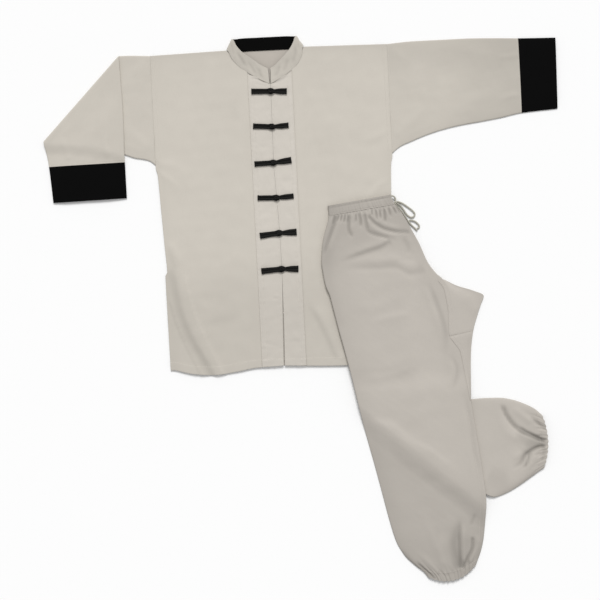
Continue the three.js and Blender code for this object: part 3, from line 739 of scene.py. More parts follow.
@dataclass(frozen=True)
class Garment:
    """Where a garment lies in the row, and how far it is turned."""

    name: str
    x: float
    y: float
    turn: float

    @property
    def cosine_sine(self) -> tuple[float, float]:
        """Cosine and sine of its turn."""
        return math.cos(math.radians(self.turn)), math.sin(math.radians(self.turn))

    def to_row(self, points: Array) -> Array:
        """Garment millimetres as row metres."""
        c, s = self.cosine_sine
        turned = np.array([[c, s, 0], [-s, c, 0], [0, 0, 1]])
        return (points @ turned + [self.x, self.y, 0]) * METRE

    def from_row(self, x: Array, y: Array) -> tuple[Array, Array]:
        """Row millimetres as the garment's own."""
        c, s = self.cosine_sine
        dx, dy = x - self.x, y - self.y
        return c * dx + s * dy, -s * dx + c * dy

    def row_place(self, x: Array, y: Array) -> tuple[Array, Array]:
        """The garment's own millimetres as row millimetres."""
        c, s = self.cosine_sine
        return c * x - s * y + self.x, s * x + c * y + self.y

    def make(self, name: str, skin: Skin, finish: "Finish", replaces: Sequence[str] = (),
             cut: Optional[Cut] = None) -> bpy.types.Object:
        """Makes one piece of the garment.

        Args:
            name: the piece's name.
            skin: its closed mesh.
            finish: what it is made of.
            replaces: the solids that it stands for.
            cut: its flat size where it is a sheet of cloth.

        Returns:
            The object.
        """
        mesh = bpy.data.meshes.new(name)
        mesh.from_pydata(self.to_row(skin.points).tolist(), [], skin.faces.tolist())
        cloth = mesh.attributes.new("cloth", "FLOAT_VECTOR", "POINT")
        cloth.data.foreach_set("vector", np.column_stack([skin.cloth, np.zeros(len(skin.cloth))]).ravel())
        # painted shading per point, which the cloth material multiplies into its colour
        tone = mesh.attributes.new("tone", "FLOAT", "POINT")
        tone.data.foreach_set("value", skin.tone.astype(np.float32))
        mesh.shade_smooth()
        mesh.materials.append(material_of(finish))
        mesh.validate()
        piece = bpy.data.objects.new(name, mesh)
        bpy.context.scene.collection.objects.link(piece)
        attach(piece, "root")
        if replaces:
            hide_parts(*replaces)
        if cut is not None:
            size = (cut.width * METRE, cut.length * METRE)
            list(cut.rests_on)
            cut.area * METRE**2
        LOG.info("%s: %s, %d faces", self.name, name, len(skin.faces))
        return piece

    def sew(self, node: str, skin: Skin, finish: "Finish", cut: Cut) -> None:
        """Makes the cloth that stands for one solid, and names it after that."""
        self.make(f"{node}_cloth", skin, finish, [node], cut)


MATERIALS: dict[str, bpy.types.Material] = {}


def material_of(finish: "Finish") -> bpy.types.Material:
    """The finish's material, made once."""
    if finish.name not in MATERIALS:
        MATERIALS[finish.name] = finish.make()
    return MATERIALS[finish.name]


def ground_area(x: Array, y: Array) -> float:
    """Area covered by a grid of ground points."""
    ax, ay = x[1:, 1:] - x[:-1, :-1], y[1:, 1:] - y[:-1, :-1]
    bx, by = x[1:, :-1] - x[:-1, 1:], y[1:, :-1] - y[:-1, 1:]
    return float(np.abs(ax * by - ay * bx).sum() / 2)


@dataclass(frozen=True)
class Stitches:
    """Raised machine stitches along lines on the cloth."""

    pitch: float = 3.2
    length: float = 2.4
    radius: float = 0.42
    lift: float = 0.12

    def along(self, lines: Sequence[Array]) -> Skin:
        """One joined mesh of the stitches of all lines.

        Args:
            lines: lines of points on the cloth.

        Returns:
            The mesh of the stitches.
        """
        starts, ends = [], []
        for line in lines:
            run = run_along(line)
            first = np.arange(self.pitch * 0.3, run[-1] - self.length, self.pitch)
            for out, at in ((starts, first), (ends, first + self.length)):
                out.append(np.stack([np.interp(at, run, line[:, k]) for k in range(3)], axis=1))
        a, b = np.vstack(starts), np.vstack(ends)
        ahead = b - a
        across = np.cross(ahead, [0.0, 0.0, 1.0])
        across /= np.maximum(np.linalg.norm(across, axis=1, keepdims=True), 1e-9)
        rings = []
        for share, size in ((0.0, 0.35), (0.3, 1.0), (0.7, 1.0), (1.0, 0.35)):
            middle = a + ahead * share + [0, 0, self.lift * (1 if size == 1 else -1)]
            for x, z in ((1, -0.6), (0.7, 0.7), (-0.7, 0.7), (-1, -0.6)):
                rings.append(middle + across * x * size * self.radius + [0, 0, z * size * self.radius])
        points = np.stack(rings, axis=1)
        faces = []
        for k in range(3):
            for i in range(4):
                j = (i + 1) % 4
                faces.append([4 * k + i, 4 * k + j, 4 * k + 4 + j, 4 * k + 4 + i])
        faces += [[3, 2, 1, 0], [12, 13, 14, 15]]
        count = len(a)
        every = (np.array(faces)[None] + 16 * np.arange(count)[:, None, None]).reshape(-1, 4)
        flat = points.reshape(-1, 3)
        return Skin(flat, every, flat[:, :2], np.ones(len(flat))).outward()


# Flat tubes of cloth


@dataclass(frozen=True)
class FlatTube:
    """A tube of cloth that lies flat, with a rolled edge at either side."""

    wall: float
    columns: int
    under: int
    edge: float = 3.0

    def build(self, ground: Ground, heights: Heights, along: Array, bend: Optional[Bend] = None,
              tone: Optional[Callable[..., Array]] = None) -> tuple[Skin, Array, float]:
        """Builds the tube.

        Args:
            ground: gives x and y for shares across each ring.
            heights: gives the low and the high surface at x, y and the share across.
            along: each ring's place along the cloth.
            bend: moves the finished points, as where the tube is folded over.
            tone: gives the tone at x, y and the share across.

        Returns:
            The mesh, its outer points by ring, and the area of both its walls.
        """
        rings = len(along)
        arc = np.radians([0, 22, 45, 68])
        inner = np.linspace(0, 1, self.columns)
        lower = np.linspace(1, 0, self.under)
        zero, one = np.zeros, np.ones
        rise, fall = arc[::-1], arc[:0:-1]
        out_x = np.concatenate([
            -np.cos(arc), zero(self.columns), np.cos(rise), np.cos(arc[1:]), zero(self.under), -np.cos(fall),
        ])
        out_z = np.concatenate([
            np.sin(arc), one(self.columns), np.sin(rise), -np.sin(arc[1:]), -one(self.under), -np.sin(fall),
        ])
        inset, share = 1 + out_x, 0.5 + 0.5 * out_z
        across = np.concatenate([zero(4), inner, one(7), lower, zero(3)])
        x0, y0 = ground(np.zeros((rings, 1)))
        x1, y1 = ground(np.ones((rings, 1)))
        width = np.hypot(x1 - x0, y1 - y0)
        rolled = self.edge / width
        w = rolled * inset + (1 - 2 * rolled) * across
        x, y = ground(w)
        low, high = heights(x, y, w)
        z = lerp(low, high, share)
        shade = np.ones(x.shape) if tone is None else tone(x, y, w)
        outer = np.stack([x, y, z], axis=-1)
        wi = w - out_x * self.wall / width
        xi, yi = ground(wi)
        inside = np.stack([xi, yi, z - out_z * self.wall], axis=-1)
        if bend is not None:
            outer, inside = bend(outer), bend(inside)
        cloth = np.stack([w * width, np.broadcast_to(along[:, None], w.shape)], axis=-1)
        grid = np.linspace(0, 1, 12)[None, :] * np.ones((rings, 1))
        return tube_skin(outer, inside, cloth, shade), outer, 2 * ground_area(*ground(grid))

    def top_line(self, outer: Array, ring: int) -> Array:
        """The line across the upper wall at a ring."""
        return outer[ring, 3:self.columns + 5]

    def under_line(self, outer: Array, ring: int) -> Array:
        """The line across the lower wall at a ring."""
        return outer[ring, self.columns + 11:self.columns + 11 + self.under]


@dataclass(frozen=True)
class FoldOver:
    """A tube folded over along a line: past it the cloth rolls round and lies back on itself."""

    x: float
    y: float
    normal: tuple[float, float]
    thickness: float
    inside: float = 0.6

    @property
    def axis(self) -> float:
        """Height of the middle of the roll."""
        return self.thickness + self.inside

    @property
    def roll(self) -> float:
        """How much cloth goes round the roll."""
        return math.pi * (self.axis - self.thickness / 2)

    def past(self, x: Array, y: Array) -> Array:
        """Distance past the fold line, before it is folded."""
        return (x - self.x) * self.normal[0] + (y - self.y) * self.normal[1]

    def bend(self, points: Array) -> Array:
        """The points after the cloth is folded over."""
        distance = self.past(points[..., 0], points[..., 1])
        radius = self.axis - points[..., 2]
        turn = np.clip(distance / self.roll, 0, 1) * math.pi
        out = radius * np.sin(turn) - np.maximum(distance - self.roll, 0) - distance
        folded = np.stack([
            points[..., 0] + out * self.normal[0],
            points[..., 1] + out * self.normal[1],
            self.axis - radius * np.cos(turn),
        ], axis=-1)
        return np.where((distance > 0)[..., None], folded, points)

    def lay_down(self, points: Array, clear: Callable[[Array, Array], Array], low: float,
                 high: float) -> Array:
        """The points after the folded cloth also comes down where nothing is under it.

        Args:
            points: the points before they are folded.
            clear: how far a ground point is past the edge of the cloth underneath.
            low: how far past the edge it starts to come down.
            high: how far past the edge it is all the way down.

        Returns:
            The points as they lie.
        """
        at = self.bend(points)
        over = self.past(points[..., 0], points[..., 1]) > self.roll
        drop = 2 * self.axis - self.thickness
        at[..., 2] -= np.where(over, drop * smooth(clear(at[..., 0], at[..., 1]), low, high), 0)
        return at

    def meets(self, place: Callable[[float], tuple[float, float]], distance: float, guess: float) -> float:
        """Where along an edge the cloth is a given distance past the fold line.

        Args:
            place: gives the edge's ground point.
            distance: the wanted distance.
            guess: where to start looking.

        Returns:
            The place along the edge.
        """
        at = guess
        for _ in range(50):
            at += (distance - float(self.past(*place(at)))) * 0.9
        return at


# The jacket


@dataclass(frozen=True)
class JacketCut:
    """Sizes of the jacket, from its front neck seam."""

    cloth: float = 1.4
    wall: float = 0.9
    gap: float = 0.3
    armhole_x: float = 296.0
    shoulder: tuple[float, float, float] = (94.0, 87.0, 83.0)  # neck x, neck y, armhole y
    neck_lean: float = -9.0
    band: float = 55.0
    loft: float = 1.2
    vent_open: float = 3.0
    vent: tuple[float, float] = (480.0, 620.0)  # where the fronts begin to part and are all apart
    armhole_foot: tuple[float, float] = (-190.0, -175.0)  # where the armhole's welt begins and is full
    seam_gap: float = 0.06
    length: float = 790.0
    hem: float = 20.0
    front_size: tuple[float, float] = (300.0, 800.0)
    band_size: tuple[float, float] = (57.0, 740.0)
    side: Profile = Profile([
        (-704, 284), (-640, 284.5), (-467, 285.5), (-460, 280.5), (-385, 284), (-300, 288), (-215, 292),
        (-196, 296), (83, 296),
    ])
    centre: Profile = Profile([
        (-706, 0), (-560, 4), (-464, 6), (-374, 5), (-285, 2), (-197, -1), (-107, 0), (0, 1),
    ])
    neck: Profile = Profile([(0, -2), (28, 12.5), (55, 30.5), (74, 47), (89, 70), (94, 87)])
    hem_right: Profile = Profile([
        (0, -706), (70, -708), (120, -715), (180, -721), (235, -716), (284, -704),
    ])
    hem_left: Profile = Profile([(0, -706), (160, -713), (284, -708)])
    creases: tuple[Crease, ...] = creases_of(
        (((-277, -376), (-256, -412), (-240, -450)), 10, 1.1, (0.3, 0.3), 0.2),
        (((-282, -400), (-266, -432), (-255, -465)), 6, -1.2),
        (((-262, -430), (-252, -520), (-226, -610), (-176, -724)), 46, 1.6, (0.35, 0)),
        (((-271, -415), (-264, -486), (-252, -562), (-230, -629), (-206, -675), (-181, -724)),
         11, -3.3, (0.3, 0), 0.35),
        (((-262, -470), (-245, -545), (-222, -612), (-190, -668), (-152, -724)), 16, 0.5, (0.4, 0.05)),
        (((60, -545), (94, -608), (133, -704)), 7, -1.5, (0.35, 0.05), 0.2),
        (((74, -550), (108, -606), (148, -700)), 12, 1.1, (0.35, 0.05), -0.2),
        (((288, -249), (248, -278), (222, -312)), 8, 0.9),
        (((-294, -205), (-262, -227), (-232, -262)), 8, 0.9, (0.1, 0.6), 0.3),
        (((-294, -185), (-255, -192), (-215, -215)), 9, 0.6, (0.1, 0.6)),
        (((-86, -400), (-129, -442), (-180, -468)), 12, 0.7),
        (((-92, -580), (-150, -586), (-200, -600)), 13, -0.7),
        (((-120, -548), (-170, -560), (-232, -512)), 12, 0.6),
        (((294, -130), (250, -150), (205, -160)), 10, 0.7, (0.1, 0.5)),
        (((-120, 60), (-150, 20), (-168, -60)), 16, 0.5),
        (((125, 62), (150, 20), (160, -50)), 16, 0.5),
        (((82, -10), (110, -60), (118, -130)), 12, 0.5),
        (((-75, -20), (-95, -70), (-100, -150)), 12, -0.5),
        (((180, -420), (215, -500), (222, -600)), 18, 0.6),
    )
    rumples: tuple[Rumple, ...] = (Rumple(3, 0.32, 95), Rumple(4, 0.14, 33))
    # Painted shade: soft darker patches along the sides, the vent, the big lower fold and the shoulders;
    # height is the change in colour.
    painted_shade_patches: tuple[Crease, ...] = creases_of(
        (((-284, -470), (-282, -700)), 20, -0.03, (0, 0)),
        (((-265, -480), (-240, -590), (-184, -720)), 34, -0.05, (0, 0)),
        (((-292, -190), (-284, -460)), 16, -0.03, (0, 0)),
        (((292, -190), (284, -460)), 16, -0.03, (0, 0)),
        (((-96, 92), (-296, 84)), 12, -0.03, (0, 0)),
        (((96, 92), (296, 84)), 12, -0.03, (0, 0)),
    )

    @property
    def pair(self) -> float:
        """Height of two walls lying on each other."""
        return 2 * self.cloth + self.gap

    def tone(self, x: Array, y: Array) -> Array:
        """Painted shading of the fronts: painted shade in troughs and patches, a faint painted highlight on
        ridges, darker towards the vents and the top, lighter on the bands.
        """
        shade = painted_crease_shading(total_relief(self.creases, x, y)) + total_relief(self.painted_shade_patches, x, y)
        shade = np.where(np.abs(x) < self.band, 1.02 + 0.5 * (shade - 1), shade)
        return shade - 0.03 - 0.095 * smooth(-y, 370, 580) - 0.05 * smooth(y, 0, 85)

    def top(self, x: Array) -> Array:
        """Top edge of a front, along the neck and the shoulder."""
        neck_x, neck_y, arm_y = self.shoulder
        along = lerp(neck_y, arm_y, (x - neck_x) / (self.armhole_x - neck_x))
        return np.where(x <= neck_x, self.neck(x), along)

    def lean(self, x: Array, y: Array) -> Array:
        """How far the cloth round the neck is pushed to one side."""
        return self.neck_lean * smooth(y, 20, 105) * (1 - smooth(np.abs(x), 110, 280))

    def front_place(self, side: int, wide: Array, up: Array) -> tuple[Array, Array]:
        """Ground points of a front.

        Args:
            side: -1 for the right front and 1 for the left one.
            wide: how far out from the centre, to the armhole.
            up: share of the way from hem to top.

        Returns:
            x and y.
        """
        hem = self.hem_right(wide) if side < 0 else self.hem_left(wide)
        y = lerp(hem, self.top(wide), up)
        open_half = lerp(self.gap, self.vent_open, smooth(-y, *self.vent)) / 2
        centre = self.centre(y) * side + open_half
        out = self.side(y) - self.seam_gap
        on_band = lerp(centre, self.band, wide / self.band)
        beside = lerp(self.band, out, (wide - self.band) / (self.armhole_x - self.band))
        x = side * np.where(wide <= self.band, on_band, beside)
        return x + self.lean(x, y), y

    def front_rise(self, x: Array, y: Array) -> Array:
        """How far a front stands off its place on the back."""
        inside = self.side(y) - np.abs(x)
        body = smooth(inside, 2, 45) * smooth(self.shoulder[2] - y, 0, 40)
        clear = smooth(np.abs(x), self.band + 4, self.band + 26) * smooth(inside, 0, 14)
        soft = total_relief(self.creases, x, y) + total_relief(self.rumples, x, y) * body
        rise = np.maximum(self.loft * body + soft * clear + 0.35 * clear, 0)
        return lerp(self.loft, rise, smooth(np.abs(x), self.band + 2, self.band + 30))

    def over(self, x: Array, y: Array, start: float, end: float) -> Array:
        """How high the jacket holds what lies on it, coming down past its edges."""
        out = x - self.side(y)
        below = self.hem_left(x) - y
        away = np.where((out > 0) & (below > 0), np.hypot(out, below), np.maximum(out, below))
        return (self.pair + self.loft + 1.3) * (1 - smooth(away, start, end))


@dataclass
class JacketBody:
    """Back, fronts and front bands."""

    garment: Garment
    cut: JacketCut
    step: float = 4.4
    lines: list[Array] = field(default_factory=list)

    def rows_up(self) -> Array:
        """Rows of a front or a band, as heights above its hem."""
        return stations(self.cut.length, self.step, [self.cut.hem])

    def soft_edge(self, top: Array, bottom: Array, across: Array, up: Array) -> None:
        """Rounds the edges of a panel, by the distance to each."""
        away = np.minimum(
            np.minimum(across, across[-1] - across)[None, :], np.minimum(up, up[-1] - up)[:, None],
        )
        drop = 0.25 * self.cut.wall * (1 - smooth(away, 0, 1.2))
        top[..., 2] -= drop
        bottom[..., 2] += 0.5 * drop

    def panel(self, node: str, side: int, across: Array, height: Callable[..., Array], finish: "Finish",
              cut: Cut) -> Array:
        """One panel whose ground points follow the front's.

        Args:
            node: the solid that it stands for.
            side: -1 for the right front and 1 for the left one.
            across: columns, as distances from the centre.
            height: gives the upper surface at x, y, the distance across and the height above the hem.
            finish: its cloth.
            cut: its flat size, with the area left to fill in.

        Returns:
            The grid of its upper points.
        """
        up = self.rows_up()
        wide, rise = np.meshgrid(across, up)
        x, y = self.cut.front_place(side, wide, rise / self.cut.length)
        z = height(x, y, wide, rise)
        top = np.stack([x, y, z], axis=-1)
        bottom = np.stack([x, y, z - self.cut.wall], axis=-1)
        self.soft_edge(top, bottom, across, up)
        # painted shade along the groove of the hem's turned-up edge
        tone = self.cut.tone(x, y) - 0.03 * bell(rise - self.cut.hem, 1.5)
        skin = panel_skin(top, bottom, np.stack([side * wide, rise], axis=-1), tone)
        self.garment.sew(node, skin, finish, replace(cut, area=ground_area(x, y)))
        return top

    def front(self, side: int, name: str) -> None:
        """One front, with its armhole welt, its hem turned up and its band."""
        cut = self.cut
        welt = (cut.armhole_x - 10, cut.armhole_x - 3)
        across = stations(cut.armhole_x, self.step, [cut.band + 0.4, *welt])

        def height(x: Array, y: Array, wide: Array, rise: Array) -> Array:
            """Upper surface of the front."""
            fell = smooth(wide, welt[0] - 1, welt[0] + 1) * smooth(y, *cut.armhole_foot)
            turned = 1 - smooth(rise, cut.hem - 0.8, cut.hem + 1.2)
            rows = bell(wide - welt[0], 1.2) + bell(wide - welt[1], 1.2)
            groove = 0.25 * (rows * smooth(y, *cut.armhole_foot) + bell(rise - cut.hem, 1.2))
            base = cut.cloth + cut.gap + cut.front_rise(x, y) + cut.cloth
            past = wide - cut.band
            meets = 0.85 * smooth(past, 0.2, 1.2) * (1 - smooth(past, 2, 24))
            return base + meets + 0.5 * fell + 0.6 * turned * smooth(past, 0, 3) - groove

        size = Cut(*cut.front_size, 0, Held.LAID, ("jacket_back_cloth",))
        top = self.panel(f"jacket_{name}", side, across, height, JACKET_CLOTH, size)
        for mark in welt:
            line = top[:, nearest(across, mark)]
            self.lines.append(line[line[:, 1] > cut.armhole_foot[0] + 2])
        self.lines.append(top[nearest(self.rows_up(), cut.hem), across > cut.band + 1])
        self.band(side, name)

    def band(self, side: int, name: str) -> None:
        """The front band: a strip laid on the front, held by three rows of stitches."""
        cut = self.cut
        rows = (3.5, 43.0, 52.5)
        across = stations(cut.band, 3.6, rows)
        puckers = Rumple(11 + side, 0.22, 24)
        dents = creases_of(
            (((-53, 27), (-34, 21), (-8, 11)), 3.2, -1.5, (0.1, 0.2)),
            (((-51, 16), (-32, 11), (-8, 1)), 3.2, -1.3, (0.2, 0.2)),
            (((-52, 21), (-34, 16), (-10, 6)), 3.0, 1.1),
            (((-40, 2), (-22, -4), (-6, -7)), 3.6, -0.8),
            (((6, -2), (28, 5), (48, 16)), 3.2, -1.5, (0.1, 0.2)),
            (((8, 6), (26, 13), (48, 26)), 3.0, 1.0),
            (((10, -8), (30, -4), (46, 4)), 3.6, -0.8),
            (((-52, -644), (-30, -652), (-9, -659)), 4, -0.7),
            (((-54, -688), (-44, -684), (-30, -676)), 4, -0.7),
            (((12, -650), (30, -646), (46, -652)), 4, -0.6),
            (((-48, -458), (-34, -462), (-18, -456)), 5, -0.6),
            (((18, -455), (34, -458), (48, -452)), 5, -0.6),
            (((-20, -534), (-12, -538), (-3, -536)), 2.6, -1.1),
            (((-21, -530), (-12, -533), (-4, -531)), 2.6, 0.7),
            (((-40, -150), (-24, -160), (-8, -152)), 5, -0.5),
            (((12, -240), (28, -248), (44, -240)), 5, -0.5),
            (((-42, -330), (-26, -322), (-10, -330)), 5, -0.5),
        )

        def height(x: Array, y: Array, wide: Array, rise: Array) -> Array:
            """Upper surface of the band."""
            base = cut.pair + cut.loft + cut.gap + cut.cloth
            turned = 1 - smooth(rise, cut.hem - 0.8, cut.hem + 1.2)
            groove = sum(bell(wide - row, 1.1) for row in rows) + bell(rise - cut.hem, 1.2)
            ripple = 0.16 * np.sin(rise / 2.1 + 1.5 * np.sin(rise / 17)) * (
                bell(wide - rows[1], 5) + bell(wide - rows[2], 5) + bell(wide - rows[0], 4))
            inside = smooth(wide, 0, 6) * smooth(cut.band - wide, 0, 5)
            soft = (puckers.relief(x, y) + total_relief(dents, x, y)) * inside
            edge = 0.75 * (1 - smooth(cut.band - wide, 0, 12))
            return base + 0.3 - edge + 0.5 * turned + soft + ripple - 0.3 * groove

        size = Cut(*cut.band_size, 0, Held.LAID, (f"jacket_{name}_cloth",))
        top = self.panel(f"band_{name}", side, across, height, BAND_CLOTH, size)
        for mark in rows:
            self.lines.append(top[:, nearest(across, mark)])
        self.lines.append(top[nearest(self.rows_up(), cut.hem)])

    def back(self) -> None:
        """The back panel, which lies flat under the fronts and shows in the neck."""
        cut = self.cut
        inset, neck_y = 1.0, 83.5
        width = cut.armhole_x
        across = stations(2 * width, 7.0) - width
        up = stations(cut.length, 6.0)
        wide, rise = np.meshgrid(across, up)
        flat = np.abs(wide)
        hem = np.where(wide < 0, cut.hem_right(flat), cut.hem_left(flat)) + inset
        neck_x = cut.shoulder[0]
        top_y = np.where(flat < neck_x, neck_y, cut.top(np.maximum(flat, neck_x)) - inset)
        y = lerp(hem, top_y, rise / cut.length)
        x = wide / width * (cut.side(y) - inset)
        x = x + cut.lean(x, y)
        neck = bell(np.hypot(x, y - 60), 75)
        dip = 0.12 * Rumple(21, 1.0, 34).relief(x, y) * neck
        seam = smooth(y, 78.5, 80.5) * neck * 0.3
        top = np.stack([x, y, np.maximum(cut.cloth + dip + seam, 1.0)], axis=-1)
        bottom = np.stack([x, y, np.zeros(x.shape)], axis=-1)
        # painted shade round the neck opening, where the back lies down under the fronts and the collar
        tone = 1 - 0.05 * bell(np.hypot(x / 1.4, y - 20), 50)
        skin = panel_skin(top, bottom, np.stack([wide, rise], axis=-1), tone)
        size = Cut(2 * width, cut.length + 10, ground_area(x, y), Held.LAID)
        self.garment.sew("jacket_back", skin, SHADED_INSIDE_CLOTH, size)

    def build(self) -> None:
        """Builds the three panels, the two bands and their stitches."""
        self.back()
        self.front(-1, "front_right")
        self.front(1, "front_left")
        self.garment.make("jacket_stitching", Stitches().along(self.lines), JACKET_THREAD)


@dataclass
class Sleeves:
    """The straight left sleeve, the folded right one and their black cuffs."""

    garment: Garment
    cut: JacketCut
    puff: float = 2.4
    girth: float = 550.0  # all round at the armhole
    seam: float = 328.0  # from armhole to cuff seam
    cuff_size: tuple[float, float] = (364.0, 96.0)  # all round, and from its seam to its end
    step: float = 4.5
    welt: float = 3.0  # from a seam to its row of stitches
    cuff_rows: tuple[float, float] = (4.0, 22.0)  # from the cuff's seam and from its end
    cuff_top: float = 421.0
    cuff_under: float = 417.5
    folded_air: float = 0.5
    fold_from: tuple[float, float] = (-372.7, 82.7)
    fold_normal: tuple[float, float] = (-0.718, 0.696)
    folded_seam: tuple[float, float] = (344.0, 340.0)
    folded_end: tuple[float, float] = (433.0, 430.0)
    top: Profile = Profile([
        (0, 83), (12, 84), (25, 85), (50, 86.5), (78, 87), (107, 87), (160, 87), (190, 87), (275, 84),
        (328, 81), (424, 78),
    ])
    under: Profile = Profile([
        (0, -190), (12, -180), (25, -172), (50, -162.5), (78, -152), (107, -143), (133, -136.5),
        (160, -131), (190, -126.5), (230, -121.5), (275, -115), (328, -105.5), (424, -99),
    ])
    folded_under: Profile = Profile([
        (0, -190), (12, -180), (25, -175), (50, -170), (78, -159), (107, -147), (160, -132), (190, -127),
        (275, -118), (335, -110), (432, -106),
    ])
    tube: FlatTube = FlatTube(0.9, 56, 56)
    creases: tuple[Crease, ...] = creases_of(
        (((16, 74), (36, 52), (48, 30)), 8, 0.9, (0.1, 0.6), 0.2),
        (((8, -150), (50, -112), (104, -66)), 13, 1.1, (0.1, 0.6), 0.2),
        (((10, -168), (60, -140), (120, -118)), 9, 0.7, (0.1, 0.6), 0.2),
        (((180, 62), (240, 46), (310, 26)), 14, 0.8),
        (((150, -100), (220, -62), (300, -52)), 13, 0.7),
        (((60, 40), (80, -20), (84, -80)), 14, 0.9),
        (((326, -60), (290, -66), (250, -88)), 7, 1.0, (0.05, 0.6)),
        (((326, 40), (292, 36), (262, 46)), 7, 0.9, (0.05, 0.6)),
    )
    rumples: tuple[Rumple, ...] = (Rumple(31, 0.32, 80), Rumple(32, 0.13, 30))

    @property
    def pair(self) -> float:
        """Height of the folded sleeve's two walls with a little air."""
        return self.cut.pair + self.folded_air

    def ground(self, side: int, top: Array, under: Array) -> Ground:
        """Ground points of rings that run from a place on the top edge to one on the under edge."""
        lower = self.under if side > 0 else self.folded_under

        def at(w: Array) -> tuple[Array, Array]:
            """Ground points at a share of the way across."""
            x = side * (self.cut.armhole_x + lerp(top[:, None], under[:, None], w))
            return x, lerp(self.top(top)[:, None], lower(under)[:, None], w)
        return at

    def tone(self, x: Array, y: Array, w: Array) -> Array:
        """Painted shading of a sleeve: painted shade in its troughs and along its rolled edges, a faint
        painted highlight on ridges, and a little darker than the fronts.
        """
        along = np.abs(x) - self.cut.armhole_x
        straight = x > 0
        shade = np.where(straight, 0.93 - 0.1 * smooth(along, 90, 330), 0.935)
        shade = shade - 0.02 * (1 - crown(w)) - 0.06 * straight * smooth(y, -30, 60)
        return shade + (painted_crease_shading(total_relief(self.creases, along, y)) - 1) * crown(w)

    def cuff_rings(self, start: float, end: float) -> Array:
        """Places of a cuff's rings along the sleeve, from its seam to its end."""
        return stations(end - start, self.step, (self.cuff_rows[0], end - start - self.cuff_rows[1])) + start

    def sewn(self, along: Array, marks: Sequence[float]) -> Array:
        """Grooves of the rows of stitches round the sleeve."""
        return 0.3 * sum(bell(along - mark, 1.2) for mark in marks)

    def build_left(self) -> list[Array]:
        """The straight sleeve and its cuff.

        Returns:
            The lines of its stitches.
        """
        cut = self.cut

        def heights(x: Array, y: Array, w: Array) -> tuple[Array, Array]:
            """Lower and upper surface of the straight sleeve."""
            along = x - cut.armhole_x
            puff = self.puff * crown(w) * smooth(along, 0, 60)
            soft = total_relief(self.creases, along, y) + total_relief(self.rumples, x, y)
            high = cut.pair + np.maximum(puff + (soft + 0.3) * crown(w), 0)
            return np.zeros(x.shape), high - self.sewn(along, (*marks, self.seam + 4))

        marks = (self.welt, self.seam - self.welt)
        top, under, along = rings_through([(0, 0), (self.seam, self.seam)], self.step, marks)
        skin, outer, area = self.tube.build(self.ground(1, top, under), heights, along, None, self.tone)
        size = Cut(self.girth, self.seam, area, Held.LAID)
        self.garment.sew("sleeve_left", skin, JACKET_CLOTH, size)
        lines = [self.tube.top_line(outer, nearest(along, mark)) for mark in marks]
        share = self.cuff_rings(self.seam, self.cuff_top)
        under = lerp(self.seam, self.cuff_under, (share - self.seam) / (self.cuff_top - self.seam))
        top = share + cut.gap
        skin, _, area = self.tube.build(self.ground(1, top, under + cut.gap), heights, share)
        size = Cut(*self.cuff_size, area, Held.LAID)
        self.garment.sew("cuff_left", skin, BLACK_CLOTH, size)
        return lines

    def build_right(self) -> list[Array]:
        """The sleeve folded over along a slanting line, with its end hanging past its lower edge.

        Returns:
            The lines of its stitches.
        """
        cut = self.cut
        fold = FoldOver(*self.fold_from, self.fold_normal, self.pair)

        def heights(x: Array, y: Array, w: Array) -> tuple[Array, Array]:
            """Lower and upper surface of the sleeve before it is folded."""
            past = fold.past(x, y)
            along = -x - cut.armhole_x
            puff = self.puff * crown(w) * smooth(past, 40, 90)
            soft = total_relief(self.creases, along, y) + total_relief(self.rumples, x, y)
            rise = (soft + 0.3) * crown(w) * smooth(-past, 10, 40)
            turned = (soft + 0.3) * crown(w) * smooth(past, fold.roll + 4, 40)
            sewn = self.sewn(along, (self.folded_seam[1] - self.welt,))
            low = -np.maximum(puff + turned, 0) + sewn * smooth(past, 30, 50)
            return low, self.pair + np.maximum(rise, 0) - self.sewn(along, (self.welt,))

        def bend(points: Array) -> Array:
            """The cloth folded over and laid down."""
            return fold.lay_down(points, lambda x, y: self.folded_under(-x - cut.armhole_x) - y, 2, 34)

        def fold_at(distance: float) -> list[float]:
            """Places of both edges at a distance past the fold."""
            return [fold.meets(lambda at: (-cut.armhole_x - at, edge(at)), distance, 100.0)
                    for edge in (self.top, self.folded_under)]

        round_roll = [share * fold.roll for share in (0.2, 0.4, 0.6, 0.8)]
        rolled = [fold_at(distance) for distance in (-4, 0, *round_roll, fold.roll, fold.roll + 5)]
        pairs = [(0, 0), (8, 14), (18, 32), (30, 70), (42, 120), (54, 175), (64, 225), *rolled, (120, 290),
                 (160, 293), (200, 297), (228, 301), (246, 305), (262, 309), (282, 316), (312, 328),
                 self.folded_seam]
        top, under, along = rings_through(pairs, self.step, (self.welt,))
        skin, outer, area = self.tube.build(self.ground(-1, top, under), heights, along, bend, self.tone)
        size = Cut(self.girth, self.seam, area, Held.FOLDED)
        self.garment.sew("sleeve_right", skin, JACKET_CLOTH, size)
        lines = [self.tube.top_line(outer, nearest(along, self.welt))]
        lines.append(self.tube.under_line(outer, len(along) - 4))
        (start, start_under), (end_top, end_under) = self.folded_seam, self.folded_end
        share = self.cuff_rings(start, end_top)
        under = lerp(start_under, end_under, (share - start) / (end_top - start))
        skin, _, area = self.tube.build(
            self.ground(-1, share + cut.gap, under + cut.gap), heights, share, bend)
        size = Cut(*self.cuff_size, area, Held.FOLDED)
        self.garment.sew("cuff_right", skin, BLACK_CLOTH, size)
        return lines

    def build(self) -> None:
        """Builds both sleeves and the stitches of their seams."""
        lines = self.build_left() + self.build_right()
        self.garment.make("sleeve_stitching", Stitches().along(lines), JACKET_THREAD)


